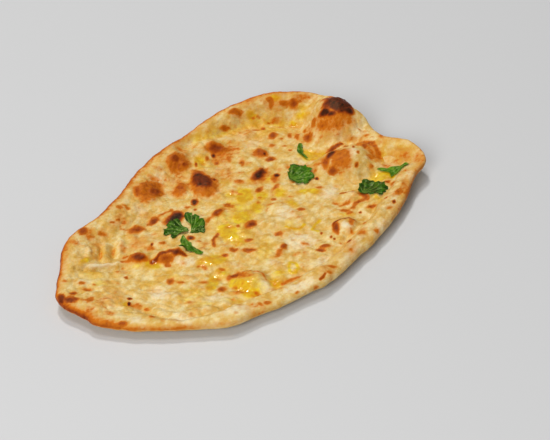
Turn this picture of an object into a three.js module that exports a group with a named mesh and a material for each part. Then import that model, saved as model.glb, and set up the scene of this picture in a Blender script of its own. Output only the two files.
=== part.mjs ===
// A naan: a leaf-shaped flatbread, baked as one piece, garnished with torn coriander leaves.
// Millimetres, +Z up. The origin is the centre of the footprint, on the surface that the bread rests on.
// +X runs along the bread's length, towards the end with the charred bubble.
// The bread stands on a flat patch in its middle, and its rim curls up off the surface all round.

import * as THREE from "three";

// The bread's driving sizes.
const HALF_LENGTH = 144;
const HALF_WIDTH = 95;
const MIDDLE_THICKNESS = 5;
const RIM_THICKNESS = 6.6;
const RIM_ROUNDING = 3.6; // how far in from the edge the rim's round section reaches
const RIM_STARTS = 0.8; // as a share of the way from the centre to the edge
const RIM_FULL = 0.93;

// The curl of the rim starts nearer the edge where the rim lifts higher.
const CURL_START = 0.5;
const CURL_START_PER_LIFT = 0.018;

// The edge, anticlockwise from the small ear: x, y and how far the underside lifts there.
const OUTLINE = [
  [137.5, -54, 12],
  [140.5, -38, 14],
  [135, -18.5, 10],
  [143, 8.5, 8],
  [144, 26.5, 8],
  [137, 52.5, 15],
  [124, 66.5, 17],
  [100, 83, 16],
  [72, 93, 11.5],
  [40, 92, 8],
  [5, 89.5, 6],
  [-20, 84.5, 5],
  [-45, 72.5, 5],
  [-70, 62.5, 6],
  [-97, 57.5, 7],
  [-111, 51, 7],
  [-124, 37, 6],
  [-136, 25.5, 6],
  [-143.5, 16, 6],
  [-142.6, -3, 5],
  [-136.5, -24, 4],
  [-114, -49.5, 4],
  [-91, -69.5, 4],
  [-77, -80, 4],
  [-60, -83.5, 4],
  [-35, -89.5, 4],
  [-10, -93.5, 4],
  [20, -91.5, 4],
  [56, -85.5, 4],
  [87.5, -76.5, 5],
  [110.3, -66.3, 7],
  [121.5, -61.2, 9],
  [131.6, -60.8, 11],
];

// Bubbles that the oven raised: centre, the half length and half width of the foot, turn, height, and how
// far out from the middle the top stays level, as a share of the way to the foot.
const BUBBLES = [
  { x: 124, y: 24, long: 31, short: 27, turn: 45, height: 17, level: 0.1 }, // charred dome on the rim
  { x: 133, y: 16, long: 22, short: 17, turn: -50, height: 7, level: 0.1 }, // its shoulder
  { x: 98, y: -16, long: 32, short: 20, turn: -35, height: 11, level: 0.12 }, // the long puff beside it
  { x: -78, y: 12, long: 12, short: 7, turn: -32, height: 3.6, level: 0.25 }, // two that make a short ridge
  { x: -62, y: 1, long: 15, short: 8, turn: -32, height: 4.2, level: 0.25 },
  { x: -42, y: -56, long: 16, short: 12, turn: -45, height: 4.5, level: 0.3 },
  { x: 43, y: -63, long: 13, short: 10, turn: -45, height: 3.4, level: 0.3 },
  { x: 7, y: 43, long: 16, short: 12, turn: 53, height: 3.2, level: 0.3 },
  { x: -29, y: 61, long: 15, short: 11, turn: 45, height: 3, level: 0.3 },
];

const BUBBLE_MERGING = 3; // the higher, the less one bubble adds to the height of another

// Coriander leaves lying on the crust: a point inside each one, and its outline seen from above.
const LEAF_THICKNESS = 0.5;
const LEAF_CLEARANCE = 0.45; // between a leaf and the crust under it
const LEAVES = [
  {
    name: "coriander_leaf_front", // two fans that share a stalk
    centre: [-37, 10],
    outline: [
      [-35.3, 17],
      [-34.6, 22],
      [-35.4, 27],
      [-38.8, 27.5],
      [-42, 25.9],
      [-43.1, 22.5],
      [-46.9, 23.3],
      [-50, 21.2],
      [-51, 18.4],
      [-48.5, 16],
      [-50.2, 12.2],
      [-44.5, 10],
      [-38, 7.5],
      [-34.5, 5.5],
      [-31, 3.2],
      [-28, 2.6],
      [-24.2, 6.7],
      [-23.1, 11],
      [-25, 13],
      [-22.4, 15.8],
      [-22.6, 18.7],
      [-25.6, 18],
      [-23.4, 22.8],
      [-25.4, 25.2],
      [-28.6, 23.5],
      [-33, 17.2],
    ],
  },
  {
    name: "coriander_blade_front",
    centre: [-48, -3],
    outline: [
      [-43.4, 7],
      [-46.9, 6.3],
      [-49.2, 3],
      [-52.8, 1.5],
      [-51.9, -3.1],
      [-51.5, -8.6],
      [-50.5, -12.5],
      [-47.7, -15.3],
      [-45.3, -15.6],
      [-45.1, -5.5],
    ],
  },
  {
    name: "coriander_sprig_small",
    centre: [85.5, 21.5],
    outline: [
      [90.3, 27.3],
      [86.8, 26.2],
      [83.2, 22.8],
      [81.8, 18],
      [81.9, 14],
      [81.6, 8.8],
      [82.8, 9],
      [84, 15.5],
      [88.3, 20.8],
      [91, 25],
    ],
  },
  {
    name: "coriander_leaf_middle",
    centre: [63, 1.5],
    outline: [
      [67.6, 13.8],
      [70.8, 12.6],
      [71.2, 7.5],
      [72.7, 3.5],
      [70.5, 0.4],
      [71.7, -2.5],
      [68.8, -8.3],
      [65, -7.9],
      [60.1, -10.6],
      [55.5, -6],
      [54.2, -2.2],
      [55.7, 4.8],
      [59.1, 6.6],
    ],
  },
  {
    name: "coriander_leaf_rear",
    centre: [86.5, -48.5],
    outline: [
      [89.6, -38.5],
      [93.9, -45.7],
      [96.1, -51.3],
      [95, -56],
      [91.3, -56.4],
      [86.2, -58],
      [83.7, -55.5],
      [79.9, -55],
      [77.3, -50.7],
      [77.9, -43.1],
      [83.1, -39.9],
    ],
  },
  {
    name: "coriander_stalk_rear", // a leaf on a stalk, climbing the ear
    centre: [113, -47],
    outline: [
      [105.9, -35.2],
      [110.5, -39],
      [113.6, -42.1],
      [117.7, -44.5],
      [122.4, -45.8],
      [124.6, -47.2],
      [124.6, -50.6],
      [121.5, -51.6],
      [117.3, -52.1],
      [113, -50.6],
      [109.1, -48.9],
      [106.7, -48.1],
      [108.3, -44.7],
      [108.1, -40],
    ],
  },
];

// How finely the two sheets of a piece are divided, and how much closer the cells lie at its edge.
const BREAD_CELLS = [54, 36];
const LEAF_CELLS = [14, 14];
const BREAD_EDGE_CROWDING = 1.35;
const LEAF_EDGE_CROWDING = 1;
const OUTLINE_SAMPLES = 720;
const MEETING = 1e-6; // two points of the sheets closer than this are one point

const radians = THREE.MathUtils.degToRad;
const smoothstep = THREE.MathUtils.smoothstep;

// A closed outline of x, y and height, as a function from an angle about its centre to the edge there.
// Between the outline's points the edge is a smooth curve.
function edgeOf(outline, centre) {
  const points = outline.map(([x, y, height = 0]) => new THREE.Vector3(x - centre.x, y - centre.y, height));
  const curve = new THREE.CatmullRomCurve3(points, true, "centripetal");
  const samples = curve
    .getSpacedPoints(OUTLINE_SAMPLES)
    .slice(0, OUTLINE_SAMPLES)
    .map((p) => ({ angle: Math.atan2(p.y, p.x), radius: Math.hypot(p.x, p.y), height: p.z }))
    .sort((a, b) => a.angle - b.angle);
  return (angle) => {
    const after = Math.max(samples.findIndex((sample) => sample.angle > angle), 0);
    const next = samples[after];
    const last = samples.at(after - 1);
    const turn = 2 * Math.PI;
    const gap = (next.angle - last.angle + turn) % turn;
    const share = gap > 0 ? ((angle - last.angle + turn) % turn) / gap : 0;
    return {
      radius: THREE.MathUtils.lerp(last.radius, next.radius, share),
      height: THREE.MathUtils.lerp(last.height, next.height, share),
    };
  };
}

// A bubble's height at a place: level in the middle, with sides that run out smoothly to its foot.
function bubbleHeight(bubble, x, y) {
  const turn = radians(bubble.turn);
  const along = (x - bubble.x) * Math.cos(turn) + (y - bubble.y) * Math.sin(turn);
  const across = (y - bubble.y) * Math.cos(turn) - (x - bubble.x) * Math.sin(turn);
  const distance = Math.hypot(along / bubble.long, across / bubble.short);
  return bubble.height * (1 - smoothstep(distance, bubble.level, 1));
}

const breadEdge = edgeOf(OUTLINE, new THREE.Vector2(0, 0));

// The height of all the bubbles at a place, each one melting into its neighbours.
function bubblesHeight(x, y) {
  const total = BUBBLES.reduce((sum, bubble) => sum + bubbleHeight(bubble, x, y) ** BUBBLE_MERGING, 0);
  return total ** (1 / BUBBLE_MERGING);
}

// The bread's underside and top at a place, where reach is 0 at the centre and 1 at the edge.
function breadSheets(x, y, reach) {
  const edge = breadEdge(Math.atan2(y, x));
  const start = CURL_START + CURL_START_PER_LIFT * edge.height;
  const lift = edge.height * smoothstep(reach, start, 1);
  const rim = smoothstep(reach, RIM_STARTS, RIM_FULL);
  const thickness = THREE.MathUtils.lerp(MIDDLE_THICKNESS, RIM_THICKNESS, rim);
  const inward = Math.min((1 - reach) * edge.radius, RIM_ROUNDING) / RIM_ROUNDING;
  const round = Math.sqrt(1 - (1 - inward) ** 2);
  const bubbles = bubblesHeight(x, y);
  return {
    bottom: lift + (thickness / 2) * (1 - round),
    top: lift + (thickness / 2) * (1 + round) + bubbles * round,
  };
}

// A closed solid of two sheets, divided as a square grid pressed into a disc and stretched to the edge.
// edgeAt gives the edge's radius at an angle, and sheetsAt the heights of the two sheets at a place.
// The sheets share their edge's points where they meet there, and a band joins them where they don't.
function twoSheets({ cells, crowding, centre, stretch, edgeAt, sheetsAt }) {
  const [columns, rows] = cells;
  const places = [];
  const topIndex = [];
  const bottomIndex = [];
  for (let row = 0; row <= rows; row++) {
    for (let column = 0; column <= columns; column++) {
      const s = (2 * column) / columns - 1;
      const t = (2 * row) / rows - 1;
      const disc = new THREE.Vector2(s * Math.sqrt(1 - (t * t) / 2), t * Math.sqrt(1 - (s * s) / 2));
      const onEdge = row === 0 || row === rows || column === 0 || column === columns;
      const reach = onEdge ? 1 : 1 - (1 - disc.length()) ** crowding;
      const angle = Math.atan2(disc.y * stretch.y, disc.x * stretch.x);
      const distance = reach * edgeAt(angle).radius;
      const x = centre.x + distance * Math.cos(angle);
      const y = centre.y + distance * Math.sin(angle);
      const { bottom, top } = sheetsAt(x, y, reach);
      topIndex.push(places.length);
      places.push([x, y, top]);
      if (top - bottom < MEETING) {
        bottomIndex.push(topIndex.at(-1));
      } else {
        bottomIndex.push(places.length);
        places.push([x, y, bottom]);
      }
    }
  }
  const geometry = new THREE.BufferGeometry();
  geometry.setAttribute("position", new THREE.Float32BufferAttribute(places.flat(), 3));
  geometry.setIndex([
    ...sheetFaces(columns, rows, topIndex),
    ...sheetFaces(columns, rows, bottomIndex).reverse(),
    ...bandFaces(columns, rows, topIndex, bottomIndex),
  ]);
  geometry.computeVertexNormals();
  return geometry;
}

// The faces of one sheet, seen from above. Each cell's diagonal points at the middle of the sheet,
// which keeps the four corner cells from folding flat.
function sheetFaces(columns, rows, index) {
  const faces = [];
  for (let row = 0; row < rows; row++) {
    for (let column = 0; column < columns; column++) {
      const a = index[row * (columns + 1) + column];
      const b = index[row * (columns + 1) + column + 1];
      const c = index[(row + 1) * (columns + 1) + column + 1];
      const d = index[(row + 1) * (columns + 1) + column];
      const rising = column < columns / 2 === row < rows / 2;
      faces.push(...(rising ? [a, b, c, a, c, d] : [a, b, d, b, c, d]));
    }
  }
  return faces;
}

// The faces that join two sheets along their edge, where they have points of their own there.
function bandFaces(columns, rows, topIndex, bottomIndex) {
  const loop = [];
  for (let column = 0; column < columns; column++) loop.push(column);
  for (let row = 0; row < rows; row++) loop.push(row * (columns + 1) + columns);
  for (let column = columns; column > 0; column--) loop.push(rows * (columns + 1) + column);
  for (let row = rows; row > 0; row--) loop.push(row * (columns + 1));
  const faces = [];
  for (const [i, here] of loop.entries()) {
    const there = loop[(i + 1) % loop.length];
    if (bottomIndex[here] === topIndex[here]) continue;
    faces.push(bottomIndex[here], bottomIndex[there], topIndex[there]);
    faces.push(bottomIndex[here], topIndex[there], topIndex[here]);
  }
  return faces;
}

function breadGeometry() {
  return twoSheets({
    cells: BREAD_CELLS,
    crowding: BREAD_EDGE_CROWDING,
    centre: new THREE.Vector2(0, 0),
    stretch: new THREE.Vector2(HALF_LENGTH, HALF_WIDTH),
    edgeAt: breadEdge,
    sheetsAt: breadSheets,
  });
}

// A leaf lies on the crust, following it at a small clearance.
function leafGeometry(leaf, crustHeight) {
  const centre = new THREE.Vector2(...leaf.centre);
  return twoSheets({
    cells: LEAF_CELLS,
    crowding: LEAF_EDGE_CROWDING,
    centre,
    stretch: new THREE.Vector2(1, 1),
    edgeAt: edgeOf(leaf.outline, centre),
    sheetsAt: (x, y) => {
      const bottom = crustHeight(x, y) + LEAF_CLEARANCE;
      return { bottom, top: bottom + LEAF_THICKNESS };
    },
  });
}

// The height of a mesh's top at a place, found by a ray from above.
function heightFinder(mesh) {
  const above = 200;
  const down = new THREE.Vector3(0, 0, -1);
  const ray = new THREE.Raycaster();
  mesh.updateMatrixWorld();
  return (x, y) => {
    ray.set(new THREE.Vector3(x, y, above), down);
    return ray.intersectObject(mesh)[0].point.z;
  };
}

const crust = new THREE.MeshStandardMaterial({ color: 0xdcb878, roughness: 0.55, metalness: 0 });
const leafGreen = new THREE.MeshStandardMaterial({ color: 0x4a6b22, roughness: 0.45, metalness: 0 });

const naan = new THREE.Group();

const bread = new THREE.Mesh(breadGeometry(), crust);
bread.name = "naan_bread";
naan.add(bread);

const crustHeight = heightFinder(bread);
for (const leaf of LEAVES) {
  const mesh = new THREE.Mesh(leafGeometry(leaf, crustHeight), leafGreen);
  mesh.name = leaf.name;
  naan.add(mesh);
}

export default naan;
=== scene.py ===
# A naan with coriander: a leaf-shaped flatbread baked in one piece, scorched on its blisters, brushed with
# melted butter and garnished with torn herb. Places and shapes are worked out in millimetres in the bread's
# own frame, and turned to metres only when a mesh is made.

import math

import bmesh
import bpy
import numpy as np
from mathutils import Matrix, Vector
from mathutils.bvhtree import BVHTree


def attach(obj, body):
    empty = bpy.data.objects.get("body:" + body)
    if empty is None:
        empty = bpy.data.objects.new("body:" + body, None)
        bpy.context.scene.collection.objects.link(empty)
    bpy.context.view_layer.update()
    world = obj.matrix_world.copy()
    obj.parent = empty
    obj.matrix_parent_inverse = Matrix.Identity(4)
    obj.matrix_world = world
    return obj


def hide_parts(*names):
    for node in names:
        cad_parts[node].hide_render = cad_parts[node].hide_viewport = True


bl_info = {
    "name": "Naan with coriander",
    "version": (1, 0, 0),
    "blender": (4, 5, 0),
    "location": "View3D > Sidebar > Naan",
    "description": "Bakes a naan around its frame, butters it and lays coriander on it",
    "category": "Add Mesh",
}

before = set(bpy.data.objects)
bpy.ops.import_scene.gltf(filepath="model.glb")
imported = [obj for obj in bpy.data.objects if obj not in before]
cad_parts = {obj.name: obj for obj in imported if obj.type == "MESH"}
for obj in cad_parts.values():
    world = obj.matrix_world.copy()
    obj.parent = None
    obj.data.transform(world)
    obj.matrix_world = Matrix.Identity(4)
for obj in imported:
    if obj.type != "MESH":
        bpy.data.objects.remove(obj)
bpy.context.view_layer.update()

MM = 0.001
BREAD_NODE = "naan_bread"
HEADINGS = np.linspace(-math.pi, math.pi, 720, endpoint=False)

# ---------------------------------------------------------------------------------------------------------
# Where things are on the bread, in millimetres. A turn is in degrees, anticlockwise seen from above.
# ---------------------------------------------------------------------------------------------------------

# Bubbles that the oven raised: x, y, half length, half width, turn, height and how far out from the middle
# the top stays level, as a share of the way to the foot.
BUBBLES = [
    (124, 24, 31, 27, 45, 17.0, 0.10),  # the charred dome on the rim
    (133, 16, 22, 17, -50, 7.0, 0.10),  # its shoulder, which runs down to the edge
    (98, -16, 32, 20, -35, 11.0, 0.12),  # the long puff beside it
    (104, -9, 22, 12, -30, 3.0, 0.10), (80, 2, 11, 8, 20, 1.6, 0.20),
    (-78, 12, 12, 7, -32, 3.6, 0.25),  # two that make a short ridge
    (-62, 1, 15, 8, -32, 4.2, 0.25), (-42, -56, 16, 12, -45, 4.5, 0.30), (43, -63, 13, 10, -45, 3.4, 0.30),
    (7, 43, 16, 12, 53, 3.2, 0.30), (-29, 61, 15, 11, 45, 3.0, 0.30), (11, 73, 12, 9, 45, 2.2, 0.30),
    (45, 67, 10, 7, -45, 1.6, 0.30), (-8, 50, 10, 7, 45, 1.6, 0.30), (66, 43, 9, 7, 53, 1.6, 0.30),
    (45, 27, 11, 7, 30, 2.0, 0.30), (-10, 13, 12, 7, 12, 1.5, 0.30), (88, 52, 7, 6, 37, 1.2, 0.30),
    (102, 33, 10, 8, 45, 1.4, 0.30), (74, 84, 9, 7, -20, 1.4, 0.30), (118, 60, 9, 7, 45, 1.2, 0.30),
    (-2, -45, 9, 6, 34, 1.2, 0.30), (71, -41, 10, 7, 0, 1.5, 0.30), (10, -22, 10, 8, 10, 1.0, 0.30),
    (-90, -30, 11, 7, -40, 1.2, 0.30), (-30, -10, 9, 6, 45, 1.2, 0.30),
]

# Raised folds and pressed creases: their points, half width and height, which is below 0 for a crease.
FOLDS = [
    ([(-110, -29), (-107, -42), (-98, -54), (-82, -63), (-64, -66), (-44, -71), (-20, -76), (8, -77)],
     2.6, -1.9),
    ([(8, -77), (34, -73), (60, -67), (82, -61), (100, -55), (112, -49)], 3.2, -2.4),
    ([(-12, -85), (14, -84), (44, -79), (74, -71), (98, -62)], 5.5, 2.4),  # the plump front rim
    ([(-96, -60), (-78, -70), (-56, -75), (-30, -80)], 4.0, 1.2),
    # the foot of the rear wall
    ([(20, 82), (36, 84), (53, 80), (79, 75), (93, 68), (103, 58), (111, 48)], 4.5, -3.4),
    ([(81, -1), (88, -2), (97, -1), (106, -4), (115, -10), (120, -19)], 4.0, 2.2),  # the puff's steep back
    ([(20, 76), (44, 73), (70, 68), (86, 60)], 3.0, 0.9),
    ([(-117, 29), (-107, 22), (-97, 16), (-88, 12)], 1.6, -1.9),
    ([(-124, 24), (-112, 16), (-101, 9)], 1.8, -0.8),
    ([(-106, 31), (-98, 39)], 2.0, 1.3),  # pleats at the left end
    ([(-95, 27), (-87, 36)], 2.0, 1.5),
    ([(-84, 25), (-77, 33)], 2.2, 1.1),
    ([(-99, 28), (-91, 37)], 1.6, -1.7),
    ([(-90, 26), (-82, 35)], 1.6, -1.7),
    ([(-112, 29), (-102, 23), (-92, 18)], 2.0, 1.2),
    ([(62, -43), (69, -45), (76, -48), (82, -53)], 1.8, 1.1),  # wrinkles below the puff
    ([(59, -52), (67, -54), (75, -59), (82, -62)], 1.8, 1.1),
    ([(52, -33), (62, -36), (72, -38)], 1.6, 0.8),
    ([(79, -15), (84, -24), (92, -32), (103, -37)], 2.6, -1.2),  # foot of the puff
    ([(-85, 18), (-76, 14), (-70, 8), (-60, 4), (-53, -2)], 1.6, 1.0),
    ([(-50, -43), (-44, -45), (-39, -49), (-33, -53), (-32, -59)], 1.6, 1.0),
    ([(33, -62), (38, -57), (45, -55), (51, -58), (53, -62)], 1.5, 1.0),
    ([(119, -24), (127, -36), (128, -47)], 8.5, -5.5),  # the ear's hollow
    ([(106, 12), (116, 2), (124, -6)], 3.5, -1.4),  # between the dome and the puff
    ([(-30, -52), (-28, -62), (-34, -68)], 2.4, -0.8),
]

# Scorched patches, and a few of painted shade laid on as toast: x, y, half length, half width, turn and how
# dark, from 0 for bare dough to 1 for char.
SCORCHES_AND_PAINTED_SHADE = [
    # the great blisters of the rear left quarter
    (-28, 61, 14.0, 9.0, 15, 0.42), (-26, 58, 8.0, 5.0, 21, 0.63), (-36, 64, 7.0, 3.2, 58, 0.58),
    (-22, 59, 5.5, 2.6, 37, 0.52), (9, 71, 9.4, 7.0, 20, 0.46), (8, 74, 5.2, 3.8, 12, 0.66),
    (11, 67, 3.6, 2.4, 14, 0.64), (-10, 49, 7.6, 5.6, 35, 0.42), (-8, 51, 4.2, 3.2, 80, 0.58),
    (7, 42, 16.0, 11.5, 60, 0.44), (12, 53, 6.5, 5.0, 72, 0.86), (8, 45, 12.0, 8.8, 58, 0.80),
    (3, 42, 4.5, 2.4, -10, 0.96), (16, 41, 2.0, 1.6, -16, 0.80), (43, 67, 9.5, 4.0, -38, 0.70),
    (42, 63, 6.5, 2.0, -47, 0.42), (37, 65, 2.4, 1.8, 49, 0.92), (19, 64, 2.8, 1.0, 48, 0.60),
    (31, 65, 3.2, 1.6, 32, 0.46), (33, 57, 3.4, 2.4, 43, 0.48), (42, 53, 3.2, 2.2, 67, 0.40),
    (46, 43, 3.8, 2.8, 45, 0.50), (40, 59, 11, 7.2, -16, 0.30), (55, 58, 2.3, 1.6, -78, 0.38),
    (31, 42, 8.5, 2.2, 46, 0.30), (28, 42, 13, 8.0, 59, 0.22), (-11, 32, 3.2, 2.6, 35, 0.90),
    (-18, 32, 2.4, 1.6, -46, 0.48), (-45, 37, 5.6, 3.0, 10, 0.72), (-16, 26, 1.6, 1.2, 27, 0.52),
    (-9, 11, 6.6, 2.8, 10, 0.66), (-18, 10, 4.0, 1.5, 13, 0.44), (-17, 18, 1.6, 1.2, -30, 0.34),
    (3, 14, 3.6, 2.0, 5, 0.42), (-8, -9, 2.2, 1.5, 42, 0.50), (-32, 29, 8.5, 5.6, 8, 1.0),
    (-39, 5, 2.8, 2.0, -54, 0.88), (-43, 5, 1.9, 1.5, 74, 0.72), (-60, 37, 6.4, 4.2, -20, 0.62),
    # the left end
    (-104, 49, 6.4, 2.8, -60, 0.34), (-92, 54, 5.0, 3.6, 30, 0.64), (-90, 50, 8.0, 5.0, 59, 0.34),
    (-82, 46, 4.4, 2.0, -32, 0.44), (-70, 50, 2.0, 1.0, -29, 0.48), (-64, 47, 7.6, 4.4, -4, 0.18),
    (-68, 26, 7.4, 5.6, 44, 0.28), (-66, 15, 4.6, 2.2, -50, 0.44), (-63, 17, 1.1, 0.9, 36, 0.85),
    (-57, 13, 3.0, 1.4, -23, 0.46), (-79, 11, 6.4, 3.2, -40, 0.80), (-130, 23, 2.8, 1.8, -35, 0.42),
    (-122, 16, 2.8, 1.6, -31, 0.50), (-117, 10, 1.8, 1.1, -82, 0.44), (-133, 11, 3.0, 2.0, 0, 0.62),
    (-123, 9, 3.8, 2.1, -50, 0.46), (-129, -1, 3.8, 2.6, 20, 0.46), (-132, 1, 4.0, 1.4, -37, 0.36),
    (-104, 2, 2.1, 1.5, -35, 0.28), (-96, 4, 2.0, 1.5, 70, 0.50), (-127, -19, 4.2, 2.8, -70, 0.32),
    (-118, -6, 3.7, 2.8, -69, 0.22), (-125, -7, 7.0, 4.4, 53, 0.20), (-112, -19, 2.2, 1.1, 51, 1.0),
    (-108, -15, 1.6, 1.1, -25, 0.85), (-110, -23, 4.4, 3.0, -57, 0.38), (-107, -30, 2.3, 1.2, -67, 0.42),
    (-111, -40, 2.8, 2.0, -12, 0.40), (-142, 11, 5.0, 3.0, 60, 0.80), (-139, 7, 5.4, 3.0, -50, 0.70),
    (-136, 5, 4.0, 2.4, -30, 0.58), (-128, -32, 4.2, 2.4, -48, 0.56), (-137, 36, 4.0, 3.0, 60, 0.40),
    # the front
    (-66, -1, 7.4, 3.0, -37, 0.56), (-59, -3, 4.0, 2.4, -18, 0.82), (-71, 3, 2.6, 1.6, 0, 0.66),
    (-68, -5, 3.0, 2.4, -67, 0.50), (-38, -2, 2.9, 2.1, -34, 0.40), (-37, -7, 2.4, 1.9, 23, 0.32),
    (-27, -25, 3.1, 2.4, -58, 0.58), (-35, -25, 2.4, 1.5, -61, 0.62), (-13, -25, 3.2, 1.5, -25, 0.60),
    (-20, -33, 4.8, 2.2, -40, 0.62), (-53, -25, 2.9, 1.9, 68, 0.38), (-55, -21, 1.6, 1.1, -10, 0.44),
    (-55, -8, 1.6, 1.2, 40, 0.66), (-78, -19, 3.5, 2.7, 40, 0.54), (-74, -25, 3.2, 1.5, -60, 0.42),
    (-63, -35, 3.6, 1.9, -39, 0.38), (-46, -45, 4.8, 2.2, -50, 0.70), (-42, -52, 8.0, 4.2, -66, 0.36),
    (-60, -49, 3.9, 2.8, 21, 0.54), (-55, -60, 6.2, 2.0, -43, 0.34), (-84, -45, 3.6, 1.9, -31, 0.34),
    (-52, -82, 3.0, 1.6, -34, 0.46), (-59, -78, 6.4, 2.2, -40, 0.24), (-92, -55, 2.4, 1.9, 19, 0.32),
    (0, -14, 5.8, 3.2, 10, 0.72), (26, 4, 2.3, 1.2, -43, 0.38), (20, -9, 3.1, 1.1, 33, 0.36),
    (6, -34, 3.1, 1.9, -45, 0.56), (36, -27, 3.1, 1.9, -43, 0.58), (-2, -47, 3.0, 2.3, 20, 0.64),
    (-8, -49, 4.2, 2.4, 25, 0.50), (18, -67, 4.2, 1.8, -32, 0.62), (13, -67, 3.6, 1.8, -60, 0.66),
    (1, -88, 3.2, 1.7, -42, 0.56), (-4, -91, 3.0, 1.8, -30, 0.44), (-4, -88, 8.2, 4.6, -10, 0.20),
    (-31, -88, 1.9, 1.2, 2, 0.38), (-18, -93, 2.6, 1.4, -30, 0.38), (32, -76, 2.3, 1.4, 63, 0.66),
    (22, -86, 3.4, 2.6, 2, 0.30), (26, -82, 10.7, 5.5, 42, 0.22), (28, -63, 1.7, 1.0, 42, 0.66),
    (28, -66, 1.2, 1.0, 58, 0.80), (27, -55, 1.5, 1.0, 32, 0.66), (-95, 10, 5.0, 1.5, -30, 0.26),
    # these three are light toast and painted shade in the creases of the pleats at the left end
    (-95, 32, 4.4, 1.5, 46, 0.26), (-86, 30, 4.4, 1.5, 46, 0.28), (-79, 28, 5.0, 2.6, 60, 0.26),
    # the right half
    (36, -60, 4.6, 2.6, 51, 0.72), (34, -63, 2.6, 1.6, 58, 0.54), (47, -64, 4.4, 2.0, 45, 0.48),
    (59, -39, 3.0, 1.4, -53, 0.44), (57, -49, 4.2, 2.2, -50, 0.50), (57, -54, 2.6, 1.5, -24, 0.48),
    (72, -61, 4.4, 1.6, -30, 0.56), (62, -59, 1.4, 1.0, 70, 0.80), (53, -71, 3.4, 1.6, 20, 0.34),
    (50, -84, 2.6, 1.7, -18, 0.44), (41, -79, 3.1, 2.0, -42, 0.34), (64, -18, 3.1, 1.9, -44, 0.40),
    (70, -10, 1.8, 1.5, 70, 1.0), (56, 0, 3.4, 2.0, -14, 0.30), (42, -11, 2.3, 1.3, -50, 0.38),
    (32, -4, 2.2, 1.5, -40, 0.56), (32, 11, 4.4, 2.2, 10, 0.58), (43, 5, 3.8, 2.1, 1, 0.56),
    (49, 12, 5.0, 3.4, 37, 0.44), (53, 14, 3.1, 2.1, 20, 0.94), (44, 23, 9.0, 4.0, 15, 0.92),
    (43, 22, 10.5, 6.0, 15, 0.50), (64, 32, 4.6, 2.8, -25, 0.62), (63, 41, 6.8, 4.6, -60, 0.58),
    (64, 38, 1.6, 1.1, 42, 0.94), (82, 29, 1.8, 1.2, -60, 0.46), (83, 36, 2.5, 1.5, -50, 0.38),
    (77, 43, 3.0, 2.2, -20, 0.40), (88, 44, 1.9, 1.2, -14, 0.44), (101, 29, 4.4, 3.6, 60, 0.60),
    (98, 37, 5.0, 2.0, 50, 0.50), (106, 37, 2.6, 1.0, 52, 0.38), (96, 43, 4.0, 1.7, 43, 0.46),
    (86, 51, 4.4, 2.8, 10, 0.64), (87, 63, 1.9, 1.6, -28, 0.60), (27, 28, 4.7, 2.8, -50, 0.32),
    # the rear wall
    (77, 83, 5.4, 2.3, -27, 0.50), (117, 59, 3.6, 2.6, -35, 0.66), (112, 63, 5.2, 1.6, -32, 0.34),
    (125, 57, 8.0, 2.6, -40, 0.30), (103, 70, 2.2, 1.7, 33, 0.28), (100, 63, 5.0, 1.6, -26, 0.30),
    (63, 80, 5.2, 1.4, -14, 0.38), (90, 84, 9.0, 3.0, -27, 0.18),
    # the puff, the ear and what lies below them
    (128, -6, 2.8, 1.4, -60, 0.44), (118, 2, 5.6, 2.0, -46, 0.26), (91, -4, 7.0, 3.0, 16, 0.88),
    (83, -6, 5.8, 3.2, 50, 0.60), (92, -13, 13, 8.5, 45, 0.42), (110, -2, 3.2, 2.0, 40, 0.54),
    (98, -14, 3.1, 2.3, 38, 0.46), (108, -11, 1.6, 1.1, 41, 0.68), (104, -19, 1.9, 1.3, 35, 0.58),
    (82, -15, 4.2, 2.4, -50, 0.62), (96, -25, 2.2, 1.3, 12, 0.66), (105, -31, 3.0, 2.0, 0, 0.40),
    (111, -25, 4.4, 3.0, 24, 0.40), (117, -14, 4.2, 2.5, 40, 0.60), (131, -55, 11, 5.0, 60, 0.28),
    (100, -51, 2.6, 1.7, -42, 0.64), (100, -56, 3.8, 2.3, 28, 0.42), (91, -68, 5.1, 2.5, 9, 0.40),
    (103, -65, 8.1, 3.6, 36, 0.28), (114, -55, 3.3, 1.6, -70, 0.34), (81, -73, 2.3, 1.4, 25, 0.78),
    (82, -65, 2.0, 1.5, 15, 0.44), (74, -75, 3.5, 1.7, -12, 0.38), (78, -48, 7.0, 2.4, 74, 0.66),
    # the first patch of this row is painted shade on the ear's hollow, laid on as light toast
    (124, -38, 14, 9.0, -40, 0.24), (110, 14, 8.0, 5.0, -45, 0.16),
    # the dome, from its skirt up to its crown
    (112, 33, 4.7, 1.8, 53, 0.46), (105, 19, 1.9, 1.2, -57, 0.40), (111, 22, 7.0, 4.0, -80, 0.44),
    (116, 12, 5.2, 2.8, -39, 0.40), (125, 9, 4.2, 2.6, -16, 0.40), (120, 16, 16, 9.0, -34, 0.37),
    (122, 19, 17, 13, -50, 0.33), (128, 23, 11.5, 10, -54, 0.86), (117, 26, 5.4, 3.2, -80, 0.94),
    (130, 14, 5.0, 3.2, -25, 0.94), (129, 20, 3.0, 2.4, 0, 1.0), (118, 21, 5.0, 2.8, -60, 0.84),
    (136, 30, 12, 7.5, -54, 0.84), (124, 28, 7.0, 6.0, -60, 0.84),
]

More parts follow.
